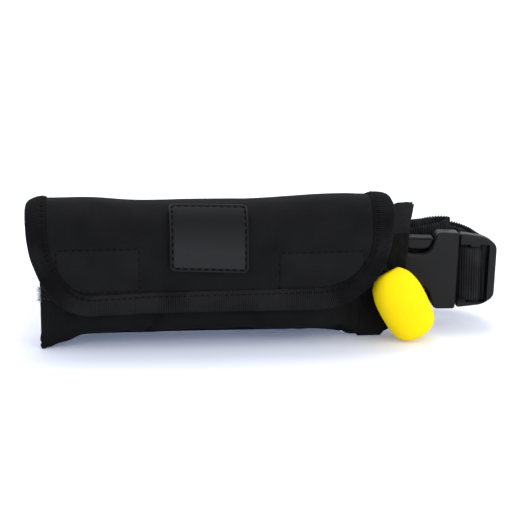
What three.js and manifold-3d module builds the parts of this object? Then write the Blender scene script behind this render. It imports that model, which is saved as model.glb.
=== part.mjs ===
// Inflatable belt pack: a hollow nylon pouch under a bound flap, on a webbing belt with a buckle.
// Millimetres, +Z up. While the pieces are made, x = 0 is the middle of the flap, y = 0 the outer face of the
// pouch's back, -Y the front, and z = 0 the surface that the pack stands on.
import * as THREE from 'three';
import { mergeVertices } from 'three/addons/utils/BufferGeometryUtils.js';
import Module from 'manifold-3d';

const wasm = await Module();
wasm.setup();

// Cloth thicknesses and the clearance between neighbours
const GAP = 0.3;
const POUCH_WALL = 1.6;
const FLAP_CLOTH = 1.5;
const TAPE_PILE = 1.2;
const BINDING_TAPE = 0.9;

// Flap: half width, corner sizes, and the line of its cloth from the back hem to the lower front edge
const FLAP_HALF = 95;
const FLAP_CORNER_LEFT = { across: 33, along: 46 };
const FLAP_CORNER_RIGHT = { across: 39, along: 40 };
const FLAP_LINE = [
  { y: 1.05, z: 63.6 },
  { y: 1.05, z: 68.6 },
  { y: -3.2, z: 73.4 },
  { y: -12, z: 76.4 },
  { y: -21, z: 77.6 },
  { y: -30.5, z: 76.2 },
  { y: -38, z: 70.6 },
  { y: -41.5, z: 60.5 },
  { y: -42.2, z: 48 },
  { y: -41.6, z: 34 },
  { y: -39.6, z: 20.5 },
];
// The binding's width, how much wider it is along the foot, and the columns across it that the flap shares
const BINDING_WIDTH = 10.3;
const BINDING_FOOT_WIDER = 1.15;
const BINDING_COLUMNS = [2.6, 4.6, 7, BINDING_WIDTH];
const SIDE_STEPS = 20;
const FLAP_COLUMNS = 16;

// Soft dents and swellings of the flap and what lies under it: where, how far they reach, how far they push
const FOLDS = [
  { x: -34, z: 80, reachX: 34, reachZ: 16, pushY: 0, pushZ: -2.2 },
  { x: 22, z: 80, reachX: 34, reachZ: 16, pushY: 0, pushZ: -2 },
  { x: 86, z: 80, reachX: 12, reachZ: 16, pushY: 0, pushZ: -0.9 },
  { x: -97, z: 78, reachX: 5.5, reachZ: 18, pushY: 0, pushZ: -3.8 },
  { x: 97, z: 78, reachX: 4.5, reachZ: 18, pushY: 0, pushZ: -3 },
  { x: 97, z: 76, reachX: 9, reachZ: 10, pushX: 2, pushY: 0, pushZ: 0 },
  { x: 97, z: 48, reachX: 9, reachZ: 12, pushX: -0.9, pushY: 0, pushZ: 0 },
  { x: -97, z: 76, reachX: 9, reachZ: 10, pushX: -0.9, pushY: 0, pushZ: 0 },
  { x: -62, z: 82, reachX: 15, reachZ: 12, pushY: 0, pushZ: 1 },
  { x: -70, z: 26, reachX: 34, reachZ: 12, pushY: 0, pushZ: -1.6 },
  { x: -34, z: 50, reachX: 9, reachZ: 30, pushY: 1.3, pushZ: 0 },
  { x: 48, z: 62, reachX: 24, reachZ: 20, pushY: -1.2, pushZ: 0 },
  { x: -70, z: 62, reachX: 20, reachZ: 18, pushY: -0.8, pushZ: 0 },
  { x: 88, z: 20, reachX: 60, reachZ: 22, pushY: 0, pushZ: 1.2 },
  { x: 74, z: 18, reachX: 62, reachZ: 10, pushY: 0, pushZ: -1.5 },
];

// Pouch sections from the left end seam to the right: full is 0 where the walls are sewn flat together and 1
// where the pouch is filled, toe and heel are the heights of the underside's front and back
const POUCH_SECTIONS = [
  { x: -89, full: 0, toe: 0, heel: 0 },
  { x: -86.5, full: 0.08, toe: 0, heel: 0 },
  { x: -84, full: 0.2, toe: 0.3, heel: 0.2 },
  { x: -79, full: 0.48, toe: 1.7, heel: 1.2 },
  { x: -73, full: 0.78, toe: 3.3, heel: 2.4 },
  { x: -66, full: 0.95, toe: 6.5, heel: 3 },
  { x: -56, full: 1, toe: 8, heel: 2.4 },
  { x: -45, full: 1, toe: 8.4, heel: 3 },
  { x: -38, full: 1, toe: 8, heel: 2.7 },
  { x: -32, full: 1, toe: 8.6, heel: 2.4 },
  { x: -24, full: 1, toe: 9, heel: 3.4 },
  { x: -10, full: 1, toe: 8.9, heel: 3.4 },
  { x: 12, full: 1, toe: 8.4, heel: 3 },
  { x: 34, full: 1, toe: 7.8, heel: 2.4 },
  { x: 56, full: 0.99, toe: 7.6, heel: 2 },
  { x: 65, full: 0.88, toe: 7.6, heel: 1.7 },
  { x: 74, full: 0.6, toe: 7.8, heel: 2 },
  { x: 81, full: 0.32, toe: 6.6, heel: 1.6 },
  { x: 87, full: 0.14, toe: 3, heel: 0.6 },
  { x: 94, full: 0.04, toe: 0, heel: 0 },
  { x: 102, full: 0, toe: 0, heel: 0 },
  { x: 110, full: 0, toe: 0, heel: 0 },
];
const POUCH_DEPTH = 36.95;
// The hollow begins where the pouch is this full, and its mouth is cut this far above the walls
const HOLLOW_FROM = 0.1;
const HOLLOW_RAISE = 6;
const SEAM_THICK = 3.4;
const LEFT_SEAM_Y = -30;
const RIGHT_SEAM_TOP_Y = -13.5;
const RIGHT_SEAM_TOE_Y = -19.5;
const RIGHT_SEAM_RISE = 25;
const MOUTH_FRONT_Z = 66;
const MOUTH_BACK_Z = 66.5;
const EAR_TOP_Z = 70;
const FRONT_FOOT_Z = 20.5;
const TOE_Y = -28;
const HEEL_FRONT_Y = -11;
const HEEL_BACK_Y = -4;
const HEEL_RISE = 5;
// Share of the toe's height that the underside keeps half way to the heel
const UNDERSIDE_SAG = 0.42;
// The right end seam leans out from the floor to the top
const LEAN_FROM_X = 55;
const LEAN_TO_X = 110;
const LEAN_TOE = 18;
const LEAN_FADE_Z = 18;

// Hook and loop tape between the flap and the pouch
const HOOK_PADS = [
  { name: 'hook_pad_left', left: -78, right: -37, low: 31.5, high: 56 },
  { name: 'hook_pad_right', left: 35, right: 76, low: 29, high: 53 },
];
const LOOP_LEFT = -88.4;
const LOOP_RIGHT = 66;
const LOOP_LOW = 27;
const LOOP_HIGH = 52;

// Rubber patch on the flap: its level sides slope a little; it has a raised rim and a stitch groove
const PATCH_X = -1.2;
const PATCH_BOTTOM_Z = 42.6;
const PATCH_WIDTH = 40.8;
const PATCH_HEIGHT = 37;
const PATCH_SLOPE = -0.047;
const PATCH_CORNER = 2.8;
const PATCH_RINGS = [
  { inset: 0, height: 0 },
  { inset: 0, height: 1.6 },
  { inset: 0.3, height: 2 },
  { inset: 0.8, height: 2 },
  { inset: 1.1, height: 1.4 },
  { inset: 2, height: 1.4 },
  { inset: 2.3, height: 1.7 },
  { inset: 6.5, height: 1.7 },
  { inset: 10, height: 1.7 },
  { inset: 14, height: 1.7 },
];
const PATCH_UNDERSIDE = [14, 10, 6.5, 3];
const PATCH_SEAT = 0.45;

// Belt: webbing size and its route seen from above, z being the height of its lower edge
const BELT_WIDTH = 30;
const BELT_THICK = 1.6;
const BELT_STEP = 3.2;
const BELT_ROUTE = [
  { x: 118, y: 46.6, z: 19.5 },
  { x: 126, y: 44.2, z: 19.9 },
  { x: 134, y: 41.4, z: 20 },
  { x: 142.4, y: 37, z: 19.6 },
  { x: 148.8, y: 31, z: 18 },
  { x: 153, y: 23, z: 16 },
  { x: 155.8, y: 15, z: 14.8 },
  { x: 156.4, y: 9, z: 14.2 },
  { x: 154.8, y: 4.8, z: 13.9 },
  { x: 152, y: 1.9, z: 13.8 },
  { x: 150.5, y: -1.6, z: 13.9 },
  { x: 148.7, y: -4.1, z: 14 },
  { x: 145.6, y: -4.9, z: 14.1 },
  { x: 142.3, y: -4.6, z: 14.2 },
  { x: 139.6, y: -2.8, z: 14.4 },
  { x: 138.5, y: 0.2, z: 14.5 },
  { x: 139.3, y: 3.8, z: 14.8 },
  { x: 141.8, y: 7.8, z: 15.5 },
  { x: 144.8, y: 12.6, z: 16.4 },
  { x: 146.2, y: 18.5, z: 17.3 },
  { x: 144, y: 26, z: 18.2 },
  { x: 138.6, y: 32, z: 18.6 },
  { x: 130, y: 36, z: 18.8 },
  { x: 120, y: 39.6, z: 18.8 },
  { x: 111, y: 47, z: 18 },
  { x: 105, y: 57, z: 16.6 },
  { x: 103, y: 68, z: 15 },
  { x: 98, y: 88, z: 11 },
  { x: 90, y: 112, z: 6 },
  { x: 75, y: 138, z: 2 },
  { x: 52, y: 158, z: 0 },
  { x: 20, y: 170, z: 0 },
  { x: -15, y: 170, z: 0 },
  { x: -46, y: 157, z: 0 },
  { x: -68, y: 133, z: 2.5 },
  { x: -79, y: 103, z: 8 },
  { x: -83, y: 74, z: 14.5 },
  { x: -83.5, y: 48, z: 20 },
  { x: -82, y: 26, z: 24 },
  { x: -76.5, y: 9, z: 26.4 },
  { x: -65, y: 1.6, z: 27 },
  { x: -50, y: 1.1, z: 27 },
  { x: 0, y: 1.1, z: 27 },
  { x: 50, y: 1.1, z: 27 },
  { x: 66, y: 1.2, z: 27 },
  { x: 75, y: 2.4, z: 27 },
  { x: 83, y: 5.8, z: 26.8 },
  { x: 92, y: 9.6, z: 26.4 },
  { x: 104, y: 11.4, z: 26 },
  { x: 116, y: 13.4, z: 26.2 },
  { x: 126, y: 16.6, z: 27.1 },
  { x: 132, y: 16.8, z: 27.3 },
  { x: 135.2, y: 13.6, z: 27.1 },
  { x: 133, y: 10.4, z: 26.4 },
  { x: 126, y: 8.6, z: 24.6 },
  { x: 116, y: 7.2, z: 23.4 },
  { x: 106, y: 6.6, z: 22 },
  { x: 96.2, y: 6.3, z: 20.2 },
  { x: 91.2, y: 4.8, z: 19.3 },
  { x: 88.6, y: 0.4, z: 18.8 },
  { x: 89.1, y: -4.8, z: 18.7 },
  { x: 92.4, y: -7, z: 18.6 },
  { x: 96.3, y: -5, z: 18.6 },
  { x: 97.1, y: -1, z: 18.6 },
  { x: 98.4, y: 2.9, z: 18.5 },
  { x: 102.4, y: 4.3, z: 18.4 },
  { x: 112, y: 4.4, z: 18.2 },
];

// Belt tunnel: a sewn panel on the pouch's back with a flat face towards the wearer
const TUNNEL_LEFT = -64;
const TUNNEL_RIGHT = 62;
const TUNNEL_CLOTH = 1.3;
const TUNNEL_ROOM = 2.4;
const TUNNEL_FLAT_LOW = 24.5;
const TUNNEL_FLAT_HIGH = 58.2;
const TUNNEL_SLOPE = 1.8;
const TUNNEL_HEM = 2.6;
// The sloped walls keep their thickness where they turn into the flat
const TUNNEL_TURN = 0.4;

// Buckle: u runs from the socket's mouth towards the plug's free end, v across; it hangs slightly turned
const BUCKLE_X = 136.3;
const BUCKLE_Y = -3;
const BUCKLE_Z = 31.5;
const BUCKLE_TURN = THREE.MathUtils.degToRad(2.3);
const SOCKET_BEVEL = 0.9;
const PLUG_BEVEL = 0.6;
const SOCKET_THICK = 9.4;
const SOCKET_HALF_OUTLINE = [
  { u: 0, v: 21.2, round: 1.2 },
  { u: -11.8, v: 21.5, round: 2.5 },
  { u: -17, v: 9.6, round: 4 },
  { u: -29, v: 9.6, round: 4 },
  { u: -33, v: 19.3, round: 3 },
  { u: -45, v: 19.3, round: 3 },
];
const SOCKET_CAVITY = { from: -31.5, to: 3, half: 18.4, thick: 5.8 };
const SOCKET_SLOT = { from: -42, to: -36.4, half: 15.9 };
const SOCKET_BAR = { from: -47, to: -36.4, half: 16.2, thick: 3.6 };
const PLUG_THICK = 8;
const PLUG_HALF_OUTLINE = [
  { u: 0.6, v: 20.9, round: 1.4 },
  { u: 15.4, v: 18.9, round: 3 },
  { u: 21.6, v: 14.6, round: 3 },
];
// The webbing's opening reaches back to the plug's body, which sits inside the socket's mouth
const PLUG_OPENING = [
  { u: 17.4, v: 14.8, round: 1 },
  { u: 0.3, v: 14.8, round: 0.2 },
  { u: 1.5, v: -17.6, round: 0.2 },
  { u: 17.4, v: -17.6, round: 1 },
];
const PLUG_BODY = { from: -6, to: 2.2, half: 18.1 };
const PLUG_ARM_THICK = 4.8;
const PLUG_ARM = [
  { u: -1, v: 16.6, round: 0.3 },
  { u: -19, v: 16.6, round: 1 },
  { u: -19, v: 12.4, round: 1 },
  { u: -1, v: 12.4, round: 0.3 },
];
const PLUG_TONGUE = [
  { u: -1, v: 3, round: 0.3 },
  { u: -24, v: 2.4, round: 1.5 },
  { u: -24, v: -2.4, round: 1.5 },
  { u: -1, v: -3, round: 0.3 },
];
const PADDLE_THICK = 8.4;
const PADDLE = [
  { u: -13.3, v: 18.4, round: 2 },
  { u: -16.9, v: 11.6, round: 3 },
  { u: -28.7, v: 11.6, round: 3 },
  { u: -31.6, v: 17.2, round: 1 },
  { u: -30, v: 18.4, round: 1 },
];
// The crossbar lies behind the plug's middle, under a small lip at the front of the frame's upper side
const CROSSBAR = { u: 9.2, back: 1.2, halfWidth: 2.3, halfThick: 1.6, half: 17.5 };
const PLUG_LIP = [
  { u: 12.4, v: 15.6, round: 0.3 },
  { u: 6.6, v: 15.6, round: 0.3 },
  { u: 6.8, v: 13.4, round: 0.6 },
  { u: 12.2, v: 13.4, round: 0.6 },
];
const PLUG_LIP_THICK = 1.1;

// Toggle: a foam barrel leaning with its lower rim on the floor, and the cord that carries it
const TOGGLE_X = 102.2;
const TOGGLE_Y = -30.8;
const TOGGLE_AXIS = new THREE.Vector3(0.469, 0.1, -0.878).normalize();
const TOGGLE_PROFILE = [
  { at: -20.2, radius: 6.3 },
  { at: -19.4, radius: 7.4 },
  { at: -15, radius: 9.8 },
  { at: -10, radius: 11.6 },
  { at: -5, radius: 12.8 },
  { at: 0, radius: 13.2 },
  { at: 6, radius: 13.1 },
  { at: 11, radius: 12.8 },
  { at: 14.4, radius: 12.2 },
  { at: 17, radius: 11 },
  { at: 18.8, radius: 8.9 },
  { at: 19.7, radius: 6.4 },
];
const CORD_RADIUS = 1.5;
const CORD_LEAD = 4.5;
const CORD_ROUTE = [
  { x: 87.6, y: -30.2, z: 46 },
  { x: 85.4, y: -31.4, z: 54 },
  { x: 83, y: -31.6, z: 62 },
  { x: 80, y: -29.4, z: 69 },
  { x: 76.4, y: -24.4, z: 71.6 },
  { x: 73.4, y: -19.6, z: 68 },
  { x: 72, y: -17.6, z: 62 },
];

const NYLON = { color: 0x1c1c1f, roughness: 0.85, metalness: 0 };
const WEBBING = { color: 0x242427, roughness: 0.8, metalness: 0 };
const RUBBER = { color: 0x2b2b2e, roughness: 0.6, metalness: 0 };
const ACETAL = { color: 0x26272a, roughness: 0.4, metalness: 0 };
const FOAM = { color: 0xf6dc14, roughness: 0.75, metalness: 0 };

const pack = new THREE.Group();

function addPiece(name, geometry, finish) {
  const piece = new THREE.Mesh(geometry, new THREE.MeshStandardMaterial(finish));
  piece.name = name;
  pack.add(piece);
  return piece;
}

// Faces turned so that they point out of the solid
function facingOut(points, triangles) {
  let volume = 0;
  for (const [a, b, c] of triangles) {
    volume += points[a].dot(new THREE.Vector3().crossVectors(points[b], points[c]));
  }
  const order = volume > 0 ? triangles : triangles.map(([a, b, c]) => [a, c, b]);
  const geometry = new THREE.BufferGeometry().setFromPoints(points);
  geometry.setIndex(order.flat());
  geometry.computeVertexNormals();
  return geometry;
}

// Side faces between closed rings that all have the same number of points
function ringSides(ringCount, size) {
  const triangles = [];
  for (let i = 0; i + 1 < ringCount; i += 1) {
    for (let k = 0; k < size; k += 1) {
      const next = (k + 1) % size;
      const a = i * size + k;
      const b = i * size + next;
      const c = a + size;
      const d = b + size;
      triangles.push([a, b, d], [a, d, c]);
    }
  }
  return triangles;
}

// Solid through rings of points, closed at both ends by a fan round each end's middle
function loftedSolid(rings) {
  const size = rings[0].length;
  const points = rings.flat();
  const triangles = ringSides(rings.length, size);
  const ends = [{ first: 0, turn: 1 }, { first: (rings.length - 1) * size, turn: -1 }];
  for (const { first, turn } of ends) {
    const middle = new THREE.Vector3();
    for (let k = 0; k < size; k += 1) {
      middle.addScaledVector(points[first + k], 1 / size);
    }
    const hub = points.push(middle) - 1;
    for (let k = 0; k < size; k += 1) {
      const here = first + k;
      const next = first + ((k + 1) % size);
      triangles.push(turn > 0 ? [hub, next, here] : [hub, here, next]);
    }
  }
  return facingOut(points, triangles);
}

// Thin solid through strips, each with an outer and an inner row of points
function sheetSolid(strips) {
  const width = strips[0].outer.length;
  const size = 2 * width;
  const points = strips.flatMap(({ outer, inner }) => [...outer, ...inner.slice().reverse()]);
  const triangles = ringSides(strips.length, size);
  const ends = [{ first: 0, turn: 1 }, { first: (strips.length - 1) * size, turn: -1 }];
  for (const { first, turn } of ends) {
    for (let k = 0; k + 1 < width; k += 1) {
      const a = first + k;
      const b = a + 1;
      const d = first + size - 1 - k;
      const c = d - 1;
      triangles.push(...(turn > 0 ? [[a, c, b], [a, d, c]] : [[a, b, c], [a, c, d]]));
    }
  }
  return facingOut(points, triangles);
}

function toManifold(geometry) {
  const bare = geometry.clone();
  bare.deleteAttribute('normal');
  bare.deleteAttribute('uv');
  const merged = mergeVertices(bare, 1e-4);
  const vertProperties = new Float32Array(merged.attributes.position.array);
  const triVerts = new Uint32Array(merged.index.array);
  return new wasm.Manifold(new wasm.Mesh({ numProp: 3, vertProperties, triVerts }));
}

function fromManifold(solid) {
  const mesh = solid.getMesh();
  const geometry = new THREE.BufferGeometry();
  geometry.setAttribute('position', new THREE.BufferAttribute(mesh.vertProperties, 3));
  geometry.setIndex(new THREE.BufferAttribute(mesh.triVerts, 1));
  geometry.computeVertexNormals();
  return geometry;
}

function spread(from, to, steps) {
  return Array.from({ length: steps + 1 }, (_, i) => THREE.MathUtils.lerp(from, to, i / steps));
}

// Cloth moves with the folds
function folded(x, y, z) {
  const point = new THREE.Vector3(x, y, z);
  for (const fold of FOLDS) {
    const away = ((x - fold.x) / fold.reachX) ** 2 + ((z - fold.z) / fold.reachZ) ** 2;
    const share = Math.exp(-away);
    const front = THREE.MathUtils.smoothstep(-y, 10, 30);
    point.x += (fold.pushX ?? 0) * share;
    point.y += fold.pushY * share * front;
    point.z += fold.pushZ * share;
  }
  return point;
}

// A place on the flap: x across it, s along its line from the back hem, offset out of its middle surface
const flapLine = new THREE.CatmullRomCurve3(FLAP_LINE.map(({ y, z }) => new THREE.Vector3(0, y, z)));
flapLine.arcLengthDivisions = 600;
const FLAP_LENGTH = flapLine.getLength();

function flapSection(s, offset) {
  const along = THREE.MathUtils.clamp(s / FLAP_LENGTH, 0, 1);
  const point = flapLine.getPointAt(along);
  const tangent = flapLine.getTangentAt(along);
  return { y: point.y + tangent.z * offset, z: point.z - tangent.y * offset };
}

function flapPlace(x, s, offset) {
  const { y, z } = flapSection(s, offset);
  return folded(x, y, z);
}

// Length along the front of the flap at which its offset line comes down to a height
function frontLength(z, offset) {
  let near = FLAP_LENGTH * 0.4;
  let far = FLAP_LENGTH;
  for (let i = 0; i < 40; i += 1) {
    const middle = (near + far) / 2;
    if (flapSection(middle, offset).z > z) {
      near = middle;
    } else {
      far = middle;
    }
  }
  return (near + far) / 2;
}

// How far the rounded corner has drawn the side in, at a distance above the lower edge
function cornerInset(rise, corner, edge) {
  const inside = Math.max(1 - rise / (corner.along - edge), 0);
  return (corner.across - edge) * (1 - Math.sqrt(Math.max(1 - inside * inside, 0)));
}

const FLAP_EDGE = BINDING_TAPE + GAP;

function flapRows(lastRow) {
  const { along } = FLAP_CORNER_RIGHT;
  const straight = spread(0, lastRow - along, SIDE_STEPS);
  const corner = spread(0, Math.PI / 2, 10).slice(1);
  return [...straight, ...corner.map((turn) => lastRow - along * (1 - Math.sin(turn)))];
}

function makeFlap() {
  const lower = FLAP_LENGTH - FLAP_EDGE;
  const strips = flapRows(lower).map((s) => {
    const rise = lower - s;
    const left = -FLAP_HALF + cornerInset(rise, FLAP_CORNER_LEFT, FLAP_EDGE);
    const right = FLAP_HALF - cornerInset(rise, FLAP_CORNER_RIGHT, FLAP_EDGE);
    const edge = [FLAP_EDGE, ...BINDING_COLUMNS];
    const columns = [
      ...edge.map((inset) => left + inset),
      ...spread(left + BINDING_WIDTH, right - BINDING_WIDTH, FLAP_COLUMNS).slice(1, -1),
      ...edge.map((inset) => right - inset).reverse(),
    ];
    return {
      outer: columns.map((x) => flapPlace(x, s, FLAP_CLOTH / 2)),
      inner: columns.map((x) => flapPlace(x, s, -FLAP_CLOTH / 2)),
    };
  });
  addPiece('flap', sheetSolid(strips), NYLON);
}

// Stations of the bound edge: from the back hem down the left side, along the foot and up the right side
function boundEdge() {
  const side = (sign, corner) => spread(0, FLAP_LENGTH - corner.along, SIDE_STEPS).map((s) => (
    { x: sign * FLAP_HALF, s, inX: -sign, inS: 0 }));
  const bend = (sign, { across, along }) => spread(0, Math.PI / 2, 9).slice(1, -1).map((turn) => {
    const inward = new THREE.Vector2(along * Math.cos(turn), across * Math.sin(turn)).normalize();
    return {
      x: sign * (FLAP_HALF - across * (1 - Math.cos(turn))),
      s: FLAP_LENGTH - along * (1 - Math.sin(turn)),
      inX: -sign * inward.x,
      inS: -inward.y,
    };
  });
  const left = -FLAP_HALF + FLAP_CORNER_LEFT.across;
  const right = FLAP_HALF - FLAP_CORNER_RIGHT.across;
  const lower = spread(left, right, 14).map((x) => ({ x, s: FLAP_LENGTH, inX: 0, inS: -1 }));
  return [
    ...side(-1, FLAP_CORNER_LEFT),
    ...bend(-1, FLAP_CORNER_LEFT),
    ...lower,
    ...bend(1, FLAP_CORNER_RIGHT).reverse(),
    ...side(1, FLAP_CORNER_RIGHT).reverse(),
  ];
}

function makeBinding() {
  const inside = FLAP_CLOTH / 2 + GAP;
  const outside = inside + BINDING_TAPE;
  const leaf = (edge, offset) => [edge, ...BINDING_COLUMNS].map((inset) => [inset, offset]);
  const outerPath = [...leaf(0, outside).reverse(), ...leaf(0, -outside)];
  const innerPath = [...leaf(BINDING_TAPE, inside).reverse(), ...leaf(BINDING_TAPE, -inside)];
  const strips = boundEdge().map(({ x, s, inX, inS }) => {
    const wider = THREE.MathUtils.lerp(1, BINDING_FOOT_WIDER, inS * inS);
    const place = ([inset, offset]) => {
      const across = inset > BINDING_TAPE ? inset * wider : inset;
      return flapPlace(x + inX * across, s + inS * across, offset);
    };
    return { outer: outerPath.map(place), inner: innerPath.map(place) };
  });
  addPiece('flap_binding', sheetSolid(strips), WEBBING);
}

// Hook tape lies under the flap and its binding, loop tape below it, and the pouch's front below both
const HOOK_OUTER = -FLAP_CLOTH / 2 - BINDING_TAPE - 2 * GAP;
const HOOK_INNER = HOOK_OUTER - TAPE_PILE;
const LOOP_OUTER = HOOK_INNER - GAP;
const LOOP_INNER = LOOP_OUTER - TAPE_PILE;
const POUCH_FRONT = LOOP_INNER - GAP;

function makeHookPads() {
  for (const { name, left, right, low, high } of HOOK_PADS) {
    const rows = spread(frontLength(high, HOOK_OUTER), frontLength(low, HOOK_OUTER), 5);
    const columns = spread(left, right, 10);
    const strips = rows.map((s) => ({
      outer: columns.map((x) => flapPlace(x, s, HOOK_OUTER)),
      inner: columns.map((x) => flapPlace(x, s, HOOK_INNER)),
    }));
    addPiece(name, sheetSolid(strips), NYLON);
  }
}

// A column of the section table at any x between the seams
function pouchValue(x, column) {
  const last = POUCH_SECTIONS.length - 1;
  let i = 0;
  while (i < last - 1 && POUCH_SECTIONS[i + 1].x < x) {
    i += 1;
  }
  const here = POUCH_SECTIONS[i];
  const next = POUCH_SECTIONS[i + 1];
  const share = THREE.MathUtils.clamp((x - here.x) / (next.x - here.x), 0, 1);
  return THREE.MathUtils.lerp(here[column], next[column], share);
}

// Where the walls would meet if the pouch were empty
function seamY(x, z) {
  if (x < 0) {
    return LEFT_SEAM_Y;
  }
  const share = THREE.MathUtils.smoothstep(z, 0, RIGHT_SEAM_RISE);
  return THREE.MathUtils.lerp(RIGHT_SEAM_TOE_Y, RIGHT_SEAM_TOP_Y, share);
}

// A pouch point, from its place in a filled section: drawn to the seam by fullness, leaned, then folded
function pouchPlace(x, y, z, seamThick) {
  const full = pouchValue(x, 'full');
  const share = y / POUCH_DEPTH + 0.5;
  const flat = seamY(x, z) + share * seamThick;
  const lean = LEAN_TOE * Math.exp(-Math.max(z, 0) / LEAN_FADE_Z);
  const leaned = x - lean * THREE.MathUtils.smoothstep(x, LEAN_FROM_X, LEAN_TO_X);
  const drawn = THREE.MathUtils.lerp(flat, y, full);
  const moved = folded(leaned, y, z);
  return new THREE.Vector3(leaned, drawn + (moved.y - y) * full, z + (moved.z - z) * full);
}

// Closed section of the pouch, drawn in by inset
function pouchSection(x, inset) {
  const full = pouchValue(x, 'full');
  const toe = pouchValue(x, 'toe') + inset;
  const heel = pouchValue(x, 'heel') + inset;
  const frontTop = THREE.MathUtils.lerp(EAR_TOP_Z, MOUTH_FRONT_Z, full);
  const backTop = THREE.MathUtils.lerp(EAR_TOP_Z, MOUTH_BACK_Z, full);
  const front = (z) => {
    const s = frontLength(Math.min(z, MOUTH_FRONT_Z), POUCH_FRONT);
    return flapSection(s, POUCH_FRONT).y + inset;
  };
  const back = -inset;
  const outline = spread(frontTop, FRONT_FOOT_Z, 9).map((z) => ({ y: front(z), z }));
  const footY = front(FRONT_FOOT_Z);
  for (const turn of spread(0, Math.PI / 2, 4).slice(1)) {
    outline.push({
      y: THREE.MathUtils.lerp(footY, TOE_Y, 1 - Math.cos(turn)),
      z: THREE.MathUtils.lerp(FRONT_FOOT_Z, toe, Math.sin(turn)),
    });
  }
  outline.push({ y: (TOE_Y + HEEL_FRONT_Y) / 2, z: heel + (toe - heel) * UNDERSIDE_SAG });
  outline.push({ y: HEEL_FRONT_Y, z: heel }, { y: HEEL_BACK_Y - inset, z: heel });
  for (const turn of spread(0, Math.PI / 2, 3).slice(1)) {
    outline.push({
      y: THREE.MathUtils.lerp(HEEL_BACK_Y - inset, back, Math.sin(turn)),
      z: heel + HEEL_RISE * (1 - Math.cos(turn)),
    });
  }
  outline.push(...spread(heel + HEEL_RISE, backTop, 5).slice(1).map((z) => ({ y: back, z })));
  if (inset > 0) {
    outline.unshift({ y: front(frontTop), z: frontTop + HOLLOW_RAISE });
    outline.push({ y: back, z: backTop + HOLLOW_RAISE });
  }
  const thick = SEAM_THICK - 2 * inset;
  return outline.map(({ y, z }) => pouchPlace(x, y, z, thick));
}

function makePouch() {
  const outer = loftedSolid(POUCH_SECTIONS.map(({ x }) => pouchSection(x, 0)));
  const open = POUCH_SECTIONS.filter(({ full }) => full > HOLLOW_FROM);
  const hollow = loftedSolid(open.map(({ x }) => pouchSection(x, POUCH_WALL)));
  addPiece('pouch', fromManifold(toManifold(outer).subtract(toManifold(hollow))), NYLON);
}

function makeLoopStrip() {
  const rows = spread(LOOP_HIGH, LOOP_LOW, 5);
  const between = POUCH_SECTIONS.map(({ x }) => x).filter((x) => x > LOOP_LEFT && x < LOOP_RIGHT);
  const columns = [LOOP_LEFT, ...between, LOOP_RIGHT];
  const place = (x, z, offset) => {
    const point = pouchPlace(x, flapSection(frontLength(z, POUCH_FRONT), POUCH_FRONT).y, z, SEAM_THICK);
    point.y += offset;
    return point;
  };
  const strips = rows.map((z) => ({
    outer: columns.map((x) => place(x, z, -GAP - TAPE_PILE)),
    inner: columns.map((x) => place(x, z, -GAP)),
  }));
  addPiece('loop_strip', sheetSolid(strips), NYLON);
}

// Rounded rectangle in the patch's own plane, drawn in by inset
function patchOutline(inset) {
  const half = { across: PATCH_WIDTH / 2 - inset, along: PATCH_HEIGHT / 2 - inset };
  const radius = Math.max(PATCH_CORNER - inset, 0.6);
  const points = [];
  const corners = [[1, 1], [-1, 1], [-1, -1], [1, -1]];
  corners.forEach(([a, b], quarter) => {
    for (const turn of spread(0, Math.PI / 2, 4)) {
      const angle = quarter * Math.PI / 2 + turn;
      points.push({
        across: a * (half.across - radius) + radius * Math.cos(angle),
        along: b * (half.along - radius) + radius * Math.sin(angle),
      });
    }
    const next = corners[(quarter + 1) % 4];
    for (const share of spread(0, 1, 7).slice(1, -1)) {
      const angle = (quarter + 1) * Math.PI / 2;
      points.push({
        across: THREE.MathUtils.lerp(a, next[0], share) * (half.across - radius) + radius * Math.cos(angle),
        along: THREE.MathUtils.lerp(b, next[1], share) * (half.along - radius) + radius * Math.sin(angle),
      });
    }
  });
  return points;
}

function makePatch() {
  const base = FLAP_CLOTH / 2 + PATCH_SEAT;
  const middleS = frontLength(PATCH_BOTTOM_Z, base) - PATCH_HEIGHT / 2;
  const place = ({ across, along }, height) => {
    const up = along + across * PATCH_SLOPE;
    return flapPlace(PATCH_X + across, middleS - up, base + height);
  };
  const rings = PATCH_RINGS.map(({ inset, height }) => patchOutline(inset).map((at) => place(at, height)));
  const under = PATCH_UNDERSIDE.map((inset) => patchOutline(inset).map((at) => place(at, 0)));
  addPiece('label_patch', loftedSolid([...under, ...rings]), RUBBER);
}

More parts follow.
